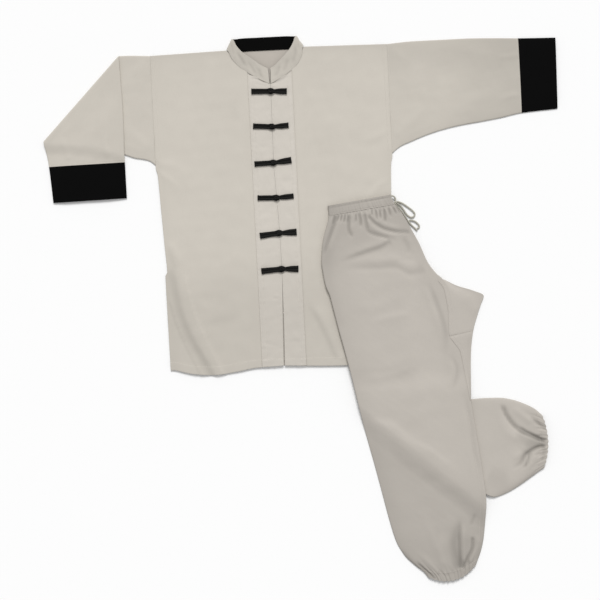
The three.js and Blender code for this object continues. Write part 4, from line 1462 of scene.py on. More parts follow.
@dataclass
class Collar:
    """The standing collar: one strip round the neck, lying flat, lined in black."""

    garment: Garment
    cut: JacketCut
    tall: float = 43.0
    stitch_row: float = 4.0  # from either edge
    size: tuple[float, float] = (48.0, 440.0)
    # Seam and upper edge from the centre front round to the back, with how far the strip has rolled over
    stations: tuple[tuple[float, ...], ...] = (
        (2.5, 0.2, 4.0, 3.5, 37.0, 5.4, 0), (16, 7.6, 3.9, 16, 44, 6.4, 0),
        (34, 17.4, 3.8, 30, 55, 7.6, 0), (53, 30.4, 3.8, 44, 67, 8.4, 0), (72.5, 47, 4, 59, 81, 8.6, 0),
        (87.4, 69.4, 4.8, 71, 98, 8.6, 0), (91.8, 85.4, 5.6, 76.5, 111, 8.6, 0),
        (94.2, 88.4, 5.2, 79, 113.6, 7.2, 50), (95, 89.2, 4, 80, 114.6, 5.1, 90),
        (94.2, 89, 2.8, 79, 114.4, 3, 130), (91.5, 87.4, 1.8, 76.5, 114, 1.8, 180),
        (60, 84.6, 1.8, 50, 115.4, 1.8, 180),
    )
    creases: tuple[Crease, ...] = creases_of(
        (((16, 6), (24, 16), (26, 30)), 5, -1.3, (0.3, 0.3), 0.3),
        (((34, 4), (44, 18), (58, 30)), 5, -1.1, (0.3, 0.3), 0.3),
        (((60, 8), (74, 22), (96, 30)), 6, -1.2, (0.3, 0.3), 0.3),
        (((96, 10), (108, 20), (128, 26)), 5, -1.0),
        (((-12, 8), (-22, 18), (-30, 34)), 5, -1.3, (0.3, 0.3), 0.3),
        (((-30, 10), (-48, 16), (-62, 30)), 6, -1.2, (0.3, 0.3), 0.3),
        (((-60, 8), (-84, 18), (-104, 32)), 5, -1.1),
        (((-100, 12), (-120, 22), (-132, 28)), 5, -0.9),
    )

    def whole(self) -> Array:
        """The stations of both halves, from the right front round the back to the left front."""
        rows = np.array(self.stations, float)
        right, left = rows.copy(), rows[::-1].copy()
        right[:, [0, 3]] *= -1
        left[:, 6] = 360 - left[:, 6]
        return np.vstack([right, left])

    def strip(self, inside: float, outside: float, reach: float,
              lapped: tuple[float, float]) -> tuple[Skin, Array, float]:
        """One layer of the collar.

        Args:
            inside: distance of its inner face from the middle of the collar.
            outside: distance of its outer face.
            reach: how much nearer to the centre its front ends come.
            lapped: how far its lower edge laps over the fronts, and over the back.

        Returns:
            The mesh, its outer points and its area.
        """
        rows = self.whole()
        middle = 0.5 * (rows[:, :3] + rows[:, 3:6])
        run = run_along(middle)
        at = stations(run[-1], 3.2)
        table = np.stack([Profile(zip(run, rows[:, k]))(at) for k in range(7)], axis=1)
        ends = 1 - smooth(np.minimum(at, run[-1] - at), 0, 10)
        side = np.where(at < run[-1] / 2, -1, 1)
        table[:, 0] -= side * ends * reach
        table[:, 3] -= side * ends * reach * 0.5
        tall = self.tall
        rows = (self.stitch_row, tall - self.stitch_row)
        up = stations(tall, 3.2, rows)
        share = (up / tall)[None, :, None]
        seam, edge = table[:, None, 0:3], table[:, None, 3:6]
        behind = smooth(table[:, 6], 60, 150) * (1 - smooth(table[:, 6], 210, 300))
        lap = np.where(behind > 0.5, lapped[1], lapped[0])[:, None, None] * (1 - share) ** 3
        line = seam + (edge - seam) * share - lap * (edge - seam) / tall
        on_band = 1 - smooth(np.abs(table[:, 0]), self.cut.band - 4, self.cut.band + 2)
        ground = self.cut.pair + self.cut.loft + 1.9 * on_band
        rolled = smooth(table[:, 6], 0, 60) * (1 - smooth(table[:, 6], 300, 360))
        lift = (ground + 0.15 - 0.3 - table[:, 2]) * (1 - rolled) * (lapped[0] > 0)
        line[..., 2] += lift[:, None] * (1 - share[..., 0]) ** 2
        turn = np.radians(table[:, 6])
        normal = np.stack([-np.sin(turn), 0.35 * np.abs(np.sin(turn)), np.cos(turn)], axis=1)
        normal /= np.linalg.norm(normal, axis=1, keepdims=True)
        line[..., 0] += self.cut.lean(line[..., 0], line[..., 1])
        along = at[:, None] - np.where(at < run[-1] / 2, 0, run[-1])[:, None] + 0 * up[None, :]
        height = up[None, :] + 0 * at[:, None]
        front = 1 - smooth(np.minimum(at, run[-1] - at), 135, 150)[:, None]
        soft = total_relief(self.creases, along, height) * front
        soft = soft + Rumple(41, 0.25, 30).relief(along, height) * smooth(height, 0, 8)
        groove = 0.25 * sum(bell(height - row, 1.1) for row in rows)
        away = np.minimum(height, tall - height)
        round_edge = 0.45 * (outside - inside) * (1 - smooth(away, 0, 1.6))
        shift = soft[..., None] * normal[:, None, :]
        outer = line + normal[:, None, :] * (outside - round_edge - groove)[..., None] + shift
        inner = line + normal[:, None, :] * (inside + 0.3 * round_edge)[..., None] + shift
        cloth = np.stack([along, height], axis=-1)
        # painted shade in the collar's troughs and along both its edges, a faint painted highlight on its
        # ridges, and the whole collar a little darker
        tone = painted_crease_shading(1.6 * soft) - 0.11 - 0.03 * (bell(height, 4) + bell(height - tall, 4))
        skin = panel_skin(outer, inner, cloth, tone)
        return skin, outer, run[-1] * tall

    def build(self) -> None:
        """Builds the outer strip, the black lining and the stitches along both edges."""
        gap = self.cut.gap
        skin, outer, area = self.strip(gap, gap + 1.1, 0.9, (2.8, 0.0))
        size = Cut(*self.size, area, Held.FOLDED)
        self.garment.sew("collar_outer", skin, JACKET_CLOTH, size)
        lining, _, area = self.strip(-gap - 1.1, -gap, 1.5, (0.0, 3.2))
        self.garment.sew("collar_lining", lining, BLACK_CLOTH, size)
        rows = (self.stitch_row, self.tall - self.stitch_row)
        up = stations(self.tall, 3.2, rows)
        lines = [outer[:, nearest(up, mark)] for mark in rows]
        self.garment.make("collar_stitching", Stitches(2.8, 2.0, 0.35).along(lines), JACKET_THREAD)


@dataclass
class Frogs:
    """Six frogs: two rolled cords on each band, ending in a loop or in a knotted button."""

    garment: Garment
    cut: JacketCut
    cord: float = 3.25  # half the width of one rolled cord
    high: float = 2.2
    knot_long: float = 5.3
    knot_wide: float = 5.7
    knot_high: float = 3.6
    knot_cord: float = 1.9
    knot_rise: float = 4.6  # middle of the knot above the band
    # Middle of the left end, of the right end and of the knot
    places: tuple[tuple[float, ...], ...] = (
        (-47.4, -19, 40.4, -23, 1.7, -21), (-47.3, -105.4, 40.5, -107.9, 0.3, -109.6),
        (-48.6, -200.1, 43, -194.8, -1, -199.4), (-45.2, -285.1, 44.1, -284.7, 2.1, -287),
        (-44.2, -379.6, 47.1, -374.7, 4.6, -375.2), (-44.9, -468, 47, -466.5, 6.2, -465),
    )
    # How much wider than usual the loop half's cords and the button half's are
    plump: tuple[tuple[float, float], ...] = (
        (1.04, 1.1), (0.98, 1.0), (1.0, 1.14), (0.96, 0.96), (1.13, 1.22), (1.14, 1.16),
    )

    @property
    def base(self) -> float:
        """Height of the band that the frogs lie on."""
        return self.cut.pair + self.cut.loft + self.cut.gap + self.cut.cloth + self.cut.gap

    def laid(self, end: Array, knot: Array, path: Sequence[Row]) -> Array:
        """A path given along the half, across it and above the band, as garment points."""
        ahead = (knot - end) / np.linalg.norm(knot - end)
        across = np.array([-ahead[1], ahead[0]])
        points = [[*(end + ahead * a + across * b), self.base + c] for a, b, c in path]
        return even(curve_through(points, 8), 1.1)

    def cord_skin(self, line: Array, slim: Callable[[Array], Array]) -> Skin:
        """One rolled cord along a line, its width times what slim says."""
        share = slim(np.linspace(0, 1, len(line)))
        return sweep(line, self.cord * share, self.high * (0.55 + 0.45 * share), 12, lobes=0.05)

    def foot(self, end: Array, knot: Array, out: float) -> tuple[Skin, Skin]:
        """The backing under a half's cords and the bar across their end."""
        whole = float(np.linalg.norm(knot - end))
        core = self.laid(end, knot, [(2, 0, 1.5), (whole / 2, 0, 1.5), (whole - 4, 0, 1.5)])
        reach, tall = 2 * out - 0.6, self.high
        bar = self.laid(end, knot, [(1.2, -reach, tall), (1.2, 0, tall + 0.1), (1.2, reach, tall)])
        backing = sweep(core, np.full(len(core), 3.0), np.full(len(core), 1.2), 8)
        return backing, sweep(bar, np.full(len(bar), 1.7), np.full(len(bar), 1.9), 10)

    def loop_half(self, end: Array, knot: Array, plump: float) -> Skin:
        """The half whose cord goes round the button."""
        whole = float(np.linalg.norm(knot - end))
        out, tall = self.cord * plump + 0.1, self.high
        side = [(2.4, out, tall), (9, out, tall), (whole - 20, 3.4, tall), (whole - 10, 3.5, tall + 0.4),
                (whole - 1, self.knot_wide - 0.2, tall + 1.2), (whole + 5.6, 3.2, tall + 1.8)]
        path = side + [(whole + 6.8, 0, tall + 1.9)] + [(a, -b, c) for a, b, c in reversed(side)]

        def slim(t: Array) -> Array:
            """Width of the cord along the half."""
            return plump * (1 - 0.1 * bell(t - 0.5, 0.3) - 0.26 * bell(t - 0.5, 0.12))

        return joined([self.cord_skin(self.laid(end, knot, path), slim), *self.foot(end, knot, out)])

    def button_half(self, end: Array, knot: Array, plump: float) -> Skin:
        """The half whose two cords run into the knotted button."""
        whole = float(np.linalg.norm(knot - end))
        out, tall = self.cord * plump + 0.1, self.high

        def slim(t: Array) -> Array:
            """Width of the cord along the half."""
            return lerp(1.04 * plump, 0.68, smooth(t, 0.3, 1))

        cords = []
        for sign in (1, -1):
            path = [(2.4, sign * out, tall), (9, sign * out, tall), (whole - 20, sign * 3.4, tall),
                    (whole - 9, sign * 2.7, tall - 0.2), (whole - 2, sign * 1.9, tall)]
            cords.append(self.cord_skin(self.laid(end, knot, path), slim))
        backing, bar = self.foot(end, knot, out)
        middle = np.array([*knot, self.base + self.knot_rise])
        knot_size = (self.knot_long, self.knot_wide, self.knot_high, self.knot_cord)
        button = knot_skin(middle, (knot - end) / whole, *knot_size)
        return joined([backing, *cords, bar, button])

    def build(self) -> None:
        """Builds both halves of every frog."""
        for i, (places, plump) in enumerate(zip(self.places, self.plump), 1):
            left, right, knot = np.array(places, float).reshape(3, 2)
            loop = self.loop_half(left, knot, plump[0])
            button = self.button_half(right, knot, plump[1])
            self.garment.make(f"frog_{i}_loop_cord", loop, FROG_CORD, [f"frog_{i}_loop"])
            self.garment.make(f"frog_{i}_button_cord", button, FROG_CORD, [f"frog_{i}_button"])


def knot_skin(middle: Array, ahead: Array, long: float, wide: float, high: float, thick: float) -> Skin:
    """A ball knot of one cord that winds round itself.

    Args:
        middle: centre of the knot.
        ahead: direction of its long axis on the ground.
        long: half its size along that direction.
        wide: half its size across.
        high: half its height.
        thick: radius of its cord.

    Returns:
        The knot's mesh.
    """
    turn = np.linspace(0, 2 * math.pi, 96, endpoint=False)
    radius = (2 + np.cos(3 * turn)) / 3
    u, v, up = radius * np.cos(2 * turn), radius * np.sin(2 * turn), np.sin(3 * turn)
    across = np.array([-ahead[1], ahead[0]])
    ground = np.outer(u * (long - thick * 0.6), ahead) + np.outer(v * (wide - thick * 0.6), across)
    line = np.column_stack([ground, up * (high - thick * 0.6)]) + middle
    size = np.full(len(line), thick)
    cord = sweep(line, size, size, 10, closed=True)
    core_turn = np.linspace(0, math.pi, 9)[1:-1]
    core = middle + np.outer(np.cos(core_turn) * long * 0.6, [*ahead, 0])
    heart = sweep(core, np.sin(core_turn) * wide * 0.62, np.sin(core_turn) * high * 0.62, 12)
    return joined([cord, heart])


# The trousers


@dataclass(frozen=True)
class TrouserCut:
    """Sizes of the trousers, from the middle of the waist, with y up and s down the leg."""

    cloth: float = 1.4
    wall: float = 0.9
    gap: float = 0.3
    puff: float = 2.4
    layer_gap: float = 1.5
    folded_air: float = 0.5
    casing: float = 17.0
    gusset_foot: tuple[float, float] = (140.0, -380.0)  # inner end of its lower seam
    drape: tuple[float, float] = (8.0, 62.0)  # how far past an edge underneath it comes down
    turn_s: float = 624.2
    turn_direction: tuple[float, float] = (0.6238, -0.7817)
    corner: tuple[float, float] = (-117.3, 477.5)  # where the fold of the lower leg meets the left edge
    shows: tuple[float, float] = (757.0, 806.0)  # where the turned-out end comes out from under the leg
    left_hip: tuple[tuple[float, float], ...] = (
        (0, -82), (20, -85), (45, -97), (75, -112), (105, -122), (136, -129), (185, -131), (219, -126),
        (238, -125.5), (299, -123.5), (376, -120), (424, -118.5),
    )
    right_hip: tuple[tuple[float, float], ...] = (
        (0, 77.5), (20, 79.5), (29, 83), (46, 91.5), (67, 99.5), (105, 111), (136, 120), (185, 130),
        (219, 145), (238, 158), (299, 163), (376, 163), (424, 162), (545, 158),
    )
    left: Profile = Profile([
        *left_hip, (545, -116), (656, -110.5), (735, -107.5), (790, -105.5), (846, -101), (888, -88),
        (917, -69), (944, -48), (980, -36),
    ])
    right: Profile = Profile([
        *right_hip, (735, 147), (790, 142), (846, 128), (888, 115), (917, 102), (944, 85), (980, 60),
    ])
    far_left: Profile = Profile([
        *left_hip, (545, -117), (680, -116), (768, -119.5), (805, -122), (840, -122.5), (870, -118),
        (900, -108), (925, -96), (950, -77), (980, -60),
    ])
    far_right: Profile = Profile([
        *right_hip, (620, 152), (700, 136), (740, 120), (770, 113), (790, 114), (803, 118), (815, 123),
        (825, 125), (840, 122), (865, 111), (895, 92), (920, 74), (945, 56), (970, 44),
    ])
    gusset_seam: Profile = Profile([
        (238, 145), (263, 155), (313, 153), (345, 147), (379, 142), (400, 151), (424, 160), (545, 156),
    ])
    gusset: Profile = Profile([
        (238, 161), (259, 187), (284, 230), (299, 248.6), (317, 238), (344, 222), (376, 205), (424, 188),
        (545, 160),
    ])

    @property
    def pair(self) -> float:
        """Height of two walls lying on each other."""
        return 2 * self.cloth + self.gap

    @property
    def folded(self) -> float:
        """Height of two walls with a little air."""
        return self.pair + self.folded_air

    def turn_out(self) -> FoldOver:
        """The fold of the lower leg."""
        return FoldOver(0, -self.turn_s, (self.turn_direction[1], -self.turn_direction[0]), self.folded)


@dataclass
class Legs:
    """The near leg and the far leg, with the crotch gusset between them."""

    garment: Garment
    jacket: Garment
    cut: TrouserCut
    jacket_cut: JacketCut
    size: tuple[float, float] = (600.0, 930.0)  # all round a leg, and from waistband to ankle
    gusset_size: tuple[float, float] = (92.0, 310.0)
    seam_rows: tuple[float, float] = (5.5, 12.5)  # from the inner edge to the leg seam's stitches
    gusset_rows: tuple[float, float] = (3.0, 9.0)  # from the gusset's seam to its stitches
    scallops: int = 11
    scallop: float = 2.2
    upper: tuple[Row, ...] = (
        (20.1, 28.6, 0), (34, 41, 0), (50, 57, 0), (66, 71, 0), (87, 89, 0), (112, 112, 0), (140, 140, 0),
        (175, 175, 0), (215, 215, 0), (255, 262, 0), (300, 315, 0), (345, 375, 0), (388, 435, 0),
        (420, 480, 0), (450, 520, 0), (466, 550, 0),
    )
    near: tuple[Row, ...] = (
        (474, 620, 0), (481, 700, 0), (488, 770, 0), (496, 808, 0), (510, 822, 0), (528, 834, 0),
        (550, 845, 0), (580, 855, 0), (620, 864, 0), (670, 873, 0), (725, 882, 0), (780, 892, 2),
        (830, 903, 5), (876, 914, 10), (912, 926, 16), (934, 937, 21), (952, 948, 25),
    )
    turned: tuple[Row, ...] = (
        (560, 786, 0), (640, 791, 0), (712, 797, 0), (745, 802, 0), (765, 807, 0), (785, 815, 1),
        (806, 825, 2), (832, 838, 4), (862, 857, 7), (890, 880, 10), (910, 906, 9), (928, 928, 11),
        (943, 948, 13),
    )
    waist_gathers: Gathers = Gathers(23, 51, 2.0, 15)
    hem_gathers: Gathers = Gathers(13, 52, 1.7, 24)
    far_gathers: Gathers = Gathers(12, 53, 1.3, 16)
    near_creases: tuple[Crease, ...] = creases_of(
        (((-66, -24), (-75, -42), (-90, -66), (-107, -93), (-119, -114)), 4.4, -3.1, (0.03, 0.2), 0.2),
        (((-58, -30), (-66, -48), (-79, -71), (-96, -98), (-108, -124)), 8, 1.5, (0.1, 0.4), 0.1),
        (((-70, -22), (-80, -44)), 2.4, -3.2, (0.02, 0.3)),
        (((-60, -23), (-69, -41)), 2.4, -3.6, (0.02, 0.3)),
        (((-52.5, -25), (-61, -43)), 2.4, -3.6, (0.02, 0.3)),
        (((-44.5, -26), (-52, -46)), 2.4, -3.6, (0.02, 0.3)),
        (((-37, -27), (-43, -48)), 2.4, -3.2, (0.02, 0.3)),
        (((-34, -30), (-42, -54), (-44, -72), (-37, -86)), 3.4, -3.0, (0.03, 0.2)),
        (((-30, -52), (-35, -64), (-34, -78)), 4.5, 1.2, (0.2, 0.5)),
        (((-18, -29), (-23, -52)), 2.6, -2.8, (0.02, 0.3)),
        (((-11, -31), (-10.5, -50), (-14, -66)), 3.2, -3.2, (0.03, 0.3)),
        (((3, -32), (1.6, -60), (2, -79), (13, -89), (32, -99.5), (52, -110.5)), 3.7, -3.0, (0.05, 0.12)),
        (((8, -46), (10, -64), (20, -78), (38, -91), (58, -102), (74, -108)), 5, 1.7, (0.15, 0.2)),
        (((52, -114), (26.5, -125), (-11, -129), (-49, -133.5), (-94, -138)), 6.6, -2.5, (0.08, 0.35), -0.3),
        (((48, -106), (28, -114), (-6, -119), (-40, -123), (-84, -126)), 9, 1.6, (0.15, 0.4), 0.2),
        (((10, -40), (19.5, -59), (34, -75.5), (46.5, -85.5), (70, -96), (90.5, -101), (106, -106)),
         3.6, -3.1, (0.05, 0.1)),
        (((22, -42), (33, -61), (48, -73), (68, -84), (92, -91)), 6, 1.4, (0.15, 0.3)),
        (((23, -28), (20, -44)), 2.4, -3.2, (0.02, 0.3)),
        (((32.5, -30), (29, -60)), 2.6, -3.2, (0.02, 0.3)),
        (((43, -31), (38.5, -57)), 2.4, -3.4, (0.02, 0.3)),
        (((53, -33), (48.5, -70)), 2.8, -3.6, (0.02, 0.3)),
        (((64, -32), (65, -57)), 2.4, -3.4, (0.02, 0.3)),
        (((76, -33), (80, -54)), 2.4, -3.4, (0.02, 0.3)),
        (((84.5, -33), (91, -54)), 2.4, -3.2, (0.02, 0.3)),
        (((-100, -156), (-49, -162), (0, -172), (50, -182), (77, -203), (102, -207), (124, -203)),
         11, -2.0, (0.3, 0.1), -0.3),
        (((-90, -144), (-45, -149), (4, -156), (50, -164), (84, -188), (108, -194)), 13, 1.8, (0.4, 0.2)),
        (((80, -110), (90, -138), (88, -160)), 7, -1.6),
        (((94, -112), (103, -136), (101, -158)), 7, 1.3),
        (((120, -226), (127, -282), (134, -335), (132, -388), (112, -436)), 7, -2.3, (0.25, 0.4), 0.2),
        (((107, -232), (114, -284), (120, -335), (118, -382)), 9, 1.9, (0.3, 0.4)),
        (((136, -420), (141, -470), (114, -520)), 6, -1.9),
        (((127, -430), (130, -466), (106, -508)), 8, 1.4),
        (((142, -500), (147, -590), (138, -668), (143, -745)), 7, -1.3),
        (((130, -508), (134, -592), (126, -668), (128, -745)), 10, 1.4),
        (((-104, -536), (-48, -568), (-13, -612), (30, -648), (70, -695), (92, -722)),
         14, 1.6, (0.1, 0.4), 0.3),
        (((-50, -303), (15, -299), (71, -305)), 9, 1.0),
        (((-99, -433), (-37, -441), (62, -431)), 10, 0.9),
        (((-90, -250), (-20, -262), (60, -250)), 16, 0.9),
        (((74, -820), (50, -864), (36, -892), (36, -922), (40, -950)), 11, -3.0, (0.3, 0.03)),
        (((66, -830), (57, -864), (51, -891), (45, -922), (41, -952)), 3.6, -3.2, (0.3, 0.02)),
        (((75, -838), (64, -884), (54, -936)), 5, 2.2, (0.3, 0.02)),
        (((88, -878), (80, -909), (61, -933), (46, -952)), 4, -3.6, (0.1, 0.02)),
        (((109, -822), (87, -856)), 4, -2.2),
        (((102, -872), (94, -908), (66, -940)), 6, 1.8, (0.3, 0.02)),
        (((22, -846), (4, -900), (6, -958)), 10, 1.4, (0.3, 0.05)),
        (((-62, -912), (-42, -940), (-24, -964)), 3.2, -3.0, (0.1, 0.1)),
        (((-60, -880), (-36, -915), (-14, -950)), 8, 1.6, (0.4, 0.05)),
        (((-20, -800), (-8, -870), (4, -940)), 10, 1.3, (0.4, 0.1)),
    )
    turned_creases: tuple[Crease, ...] = creases_of(
        (((-109, -843), (-80, -854), (-55, -871.5), (-37.5, -893), (-28.5, -914), (-19, -937), (-14, -954)),
         4.6, -4.8, (0.1, 0.02), 0.25),
        (((-52, -886), (-39, -903.5), (-30, -921.5), (-20, -942)), 2.6, -3.0, (0.2, 0.02)),
        (((-50, -877), (-37, -898), (-28, -920)), 2.6, 1.6, (0.2, 0.2)),
        (((-104, -872), (-82, -892), (-58, -924)), 8, 1.6, (0.3, 0.2)),
        (((-84, -838), (-52, -852), (-28, -872), (-12, -898)), 9, 1.3),
        (((0, -952), (0, -936), (9, -918), (21.5, -902), (43, -889), (56, -864)),
         4.6, -4.4, (0.02, 0.4), -0.2),
        (((12.5, -914), (37.5, -907), (56, -898)), 3, -3.2, (0.05, 0.3)),
        (((5.5, -950), (23, -948), (38, -941)), 3.2, -2.6, (0.02, 0.4)),
        (((12, -930), (32, -920), (60, -910)), 5, 1.5, (0.2, 0.3)),
        (((-2, -905), (14, -890), (34, -868)), 8, 1.4, (0.2, 0.3)),
        (((-44, -952), (-62, -930), (-84, -912)), 4, -2.2, (0.02, 0.5)),
    )
    # Painted shade: soft darker patches between the turned-out end's folds; height is the change in colour.
    turned_painted_shade_patches: tuple[Crease, ...] = creases_of(
        (((-40, -878), (-20, -908), (-16, -938)), 15, -0.1, (0.2, 0)),
        (((18, -896), (-3, -912), (-16, -938)), 13, -0.1, (0.2, 0)),
        (((66, -806), (77, -836), (72, -868)), 20, -0.08, (0.2, 0.3)),
    )
    rumples: tuple[Rumple, ...] = (Rumple(61, 0.34, 90), Rumple(62, 0.14, 34))
    # Painted shade: soft darker patches at the side of the hip, beside the gusset, in the hem's valley and
    # along the lower left edge; height is the change in colour.
    painted_shade_patches: tuple[Crease, ...] = creases_of(
        (((-110, -110), (-122, -180), (-118, -280)), 14, -0.05, (0, 0)),
        (((110, -225), (128, -330), (126, -480)), 16, -0.03, (0, 0)),
        (((60, -890), (44, -950)), 24, -0.06, (0, 0)),
        (((-96, -872), (-70, -914), (-40, -954)), 5, -0.1, (0.1, 0.1)),
    )
    lines: list[Array] = field(default_factory=list)

    def over_jacket(self, x: Array, y: Array) -> Array:
        """How high the jacket under the trousers holds them."""
        return self.jacket_cut.over(*self.jacket.from_row(*self.garment.row_place(x, y)), *self.cut.drape)

    def ground(self, left: Array, right: Array, bulge: Array, far: bool = False) -> Ground:
        """Ground points of a leg's rings, with the scallops of its elastic hem."""
        cut = self.cut
        edges = (cut.far_left, cut.far_right) if far else (cut.left, cut.right)
        x1, x2 = edges[0](left)[:, None], edges[1](right)[:, None]
        depth = self.scallop * smooth(left, 928, 944)[:, None]

        def at(w: Array) -> tuple[Array, Array]:
            """Ground points at a share of the way across."""
            wave = np.abs(np.sin(self.scallops * math.pi * w + 0.5 * np.sin(5 * w))) - 0.5
            down = lerp(left[:, None], right[:, None], w) + bulge[:, None] * 4 * w * (1 - w) + depth * wave
            return lerp(x1, x2, w), -down
        return at

    def below_band(self, y: Array, w: Array) -> Array:
        """Distance below the waistband, whose seam slants across the leg."""
        return -y - 22 - 9 * w

    def edge_relief(self, y: Array, w: Array, gathers: Gathers, last: Row) -> Array:
        """Gathers at the waist and at the ankle, and the stitched edge of the ankle's casing.

        Args:
            y: places up.
            w: places across.
            gathers: the ankle's gathers.
            last: the row of the hem.

        Returns:
            The lift at each place.
        """
        hem = lerp(last[0], last[1], w) + 4 * last[2] * w * (1 - w)
        away = hem + y - self.cut.casing
        waist = self.waist_gathers.relief(w, self.below_band(y, w))
        ankle = gathers.relief(w, away) * smooth(-y, 800, 860)
        ankle = ankle + 1.6 * smooth(-away, -60, -20) * smooth(-y, 840, 900)
        ripple = 0.4 * np.sin(2 * math.pi * 21 * w + 4 * np.sin(7 * w)) * smooth(-away, -14, -2)
        casing = 0.4 * smooth(-away, -1, 1) - 0.5 * bell(away, 1.6)
        return (waist + ankle + ripple + casing) * fringe(w)

    def near_heights(self, x: Array, y: Array, w: Array) -> tuple[Array, Array]:
        """The low and the high surface of the upper leg."""
        cut, fold = self.cut, self.cut.turn_out()
        turn = math.radians(self.garment.turn)
        on_leg = 1 - smooth(fold.past(x, y), *cut.drape)
        above = (x - cut.corner[0]) * math.sin(turn) + (y + cut.corner[1]) * math.cos(turn)
        on_turned = on_leg * (1 - smooth(above, 12, 70))
        low = self.over_jacket(x, y) + (cut.folded + cut.layer_gap) * on_leg + (cut.folded + 1.2) * on_turned
        soft = total_relief(self.near_creases, x, y) + total_relief(self.rumples, x, y)
        below = -y - lerp(20.3, 28.8, w)
        full = lerp(fringe(w), crown(w), smooth(-y, 90, 150) * (1 - smooth(-y, 850, 900)))
        puff = (cut.puff + 0.6 + soft) * full * smooth(below, -0.5, 11)
        foot_x, foot_y = cut.gusset_foot
        seam = 0.45 * bell(np.hypot(y - foot_y, np.maximum(foot_x - x, 0)), 1.6)
        lift = puff + self.edge_relief(y, w, self.hem_gathers, self.near[-1]) - seam
        return low, low + cut.pair + np.maximum(lift, -0.1)

    def near_painted_shading(self, x: Array, y: Array, w: Array) -> Array:
        """Painted shading of the upper leg: painted shade in troughs and gathers, at its sides, on the slope
        below the slanting ridge and in patches; darker at the waist and low down.
        """
        # distance below the slanting ridge where the leg drapes over the fold underneath; past it the leg
        # gets painted shade for its slope down
        below = (-178 * (x + 104) - 190 * (y + 543)) / 260
        gathered = self.waist_gathers.relief(w, self.below_band(y, w))
        pressed = 1 + 0.35 * (1 - smooth(-y, 50, 100))
        shade = painted_crease_shading(pressed * total_relief(self.near_creases, x, y) + 0.55 * gathered)
        shade = shade + 0.02 - 0.12 * smooth(below, -14, 50) - 0.09 * smooth(-y, 800, 940)
        shade = shade - 0.07 * (1 - crown(w)) - 0.13 * (1 - smooth(-y, 60, 190))
        return shade + total_relief(self.painted_shade_patches, x, y)

    def far_painted_shading(self, x: Array, y: Array, w: Array) -> Array:
        """Painted shading of the turned-out end: painted shade in its troughs, between its folds and at its
        sides; darker low down.
        """
        shade = painted_crease_shading(1.6 * total_relief(self.turned_creases, x, y))
        shade = shade + total_relief(self.turned_painted_shade_patches, x, y)
        return shade + 0.01 - 0.07 * (1 - crown(w)) - 0.07 * smooth(-y, 860, 950)

    def near_leg(self) -> None:
        """The upper leg, which drapes over the far leg and its turned-out end."""
        cut = self.cut
        tube = FlatTube(cut.wall, 104, 26)
        left, right, bulge, along = rings_through([*self.upper, *self.near], 4.4, (-cut.casing,))
        skin, outer, area = tube.build(
            self.ground(left, right, bulge), self.near_heights, along, None, self.near_painted_shading)
        size = Cut(*self.size, area, Held.GATHERED, ("leg_far_cloth", "jacket_front_left_cloth"))
        self.garment.sew("leg_near", skin, TROUSER_CLOTH, size)
        self.lines.append(tube.top_line(outer, nearest(along, along[-1] - cut.casing)))
        halfway = outer[len(along) // 2, :, 0]
        for inset in self.seam_rows:
            line = outer[:, nearest(halfway[:tube.columns + 4], halfway.max() - inset)]
            self.lines.append(line[(line[:, 1] < -560) & (line[:, 1] > -900)])

    def far_leg(self) -> None:
        """The lower leg, folded over itself so that its end comes out at the side."""
        cut, fold = self.cut, self.cut.turn_out()

        def heights(x: Array, y: Array, w: Array) -> tuple[Array, Array]:
            """Lower and upper surface of the leg before it is folded."""
            low = self.over_jacket(x, y)
            shown = smooth(-y - lerp(cut.shows[0], cut.shows[1], w), 5, 50)
            soft = total_relief(self.turned_creases, x, y) + total_relief(self.rumples, x, y)
            puff = (cut.puff + soft + 1.9) * fringe(w)
            puff = puff + self.edge_relief(y, w, self.far_gathers, self.turned[-1])
            return low - np.maximum(puff * shown, 0), low + cut.folded

        def bend(points: Array) -> Array:
            """The cloth folded over and laid down."""
            return fold.lay_down(points, lambda x, y: x - cut.right(-y), 4, 44)

        def fold_at(distance: float) -> list[float]:
            """Places of both edges at a distance past the fold."""
            edges = (cut.far_left, cut.far_right)
            return [*(fold.meets(lambda at: (edge(at), -at), distance, 600.0) for edge in edges), 0.0]

        rolled = [fold_at(share * fold.roll) for share in (-0.5, 0, 0.2, 0.4, 0.6, 0.8, 1)]
        fan = [(470, 620, 0), (472, 680, 0), (473.5, 730, 0)]
        tube = FlatTube(cut.wall, 24, 72)
        left, right, bulge, along = rings_through(
            [*self.upper, *fan, *rolled, *self.turned], 4.6, (-cut.casing,))
        ground = self.ground(left, right, bulge, True)
        skin, outer, area = tube.build(ground, heights, along, bend, self.far_painted_shading)
        size = Cut(*self.size, area, Held.FOLDED, ("jacket_front_left_cloth",))
        self.garment.sew("leg_far", skin, TROUSER_CLOTH, size)
        self.lines.append(tube.under_line(outer, nearest(along, along[-1] - cut.casing)))

    def gusset_far(self) -> None:
        """The lower wall of the crotch gusset, flat on the floor beside the leg's seam."""
        cut = self.cut
        down = stations(307.0, 4.4) + 238.0
        across = np.concatenate([[0, 0.02], np.linspace(0.06, 0.94, 16), [0.975, 1]])
        share, s = np.meshgrid(across, down)
        seam = cut.right(s) + 0.6
        x, y = lerp(seam, np.maximum(cut.gusset(s), seam + 2), share), -s
        top = np.stack([x, y, np.full(x.shape, cut.cloth)], axis=-1)
        bottom = np.stack([x, y, np.zeros(x.shape)], axis=-1)
        skin = panel_skin(top, bottom, top[..., :2], np.full(x.shape, 0.95))
        size = Cut(*self.gusset_size, ground_area(x, y), Held.LAID)
        self.garment.sew("gusset_far", skin, TROUSER_CLOTH, size)

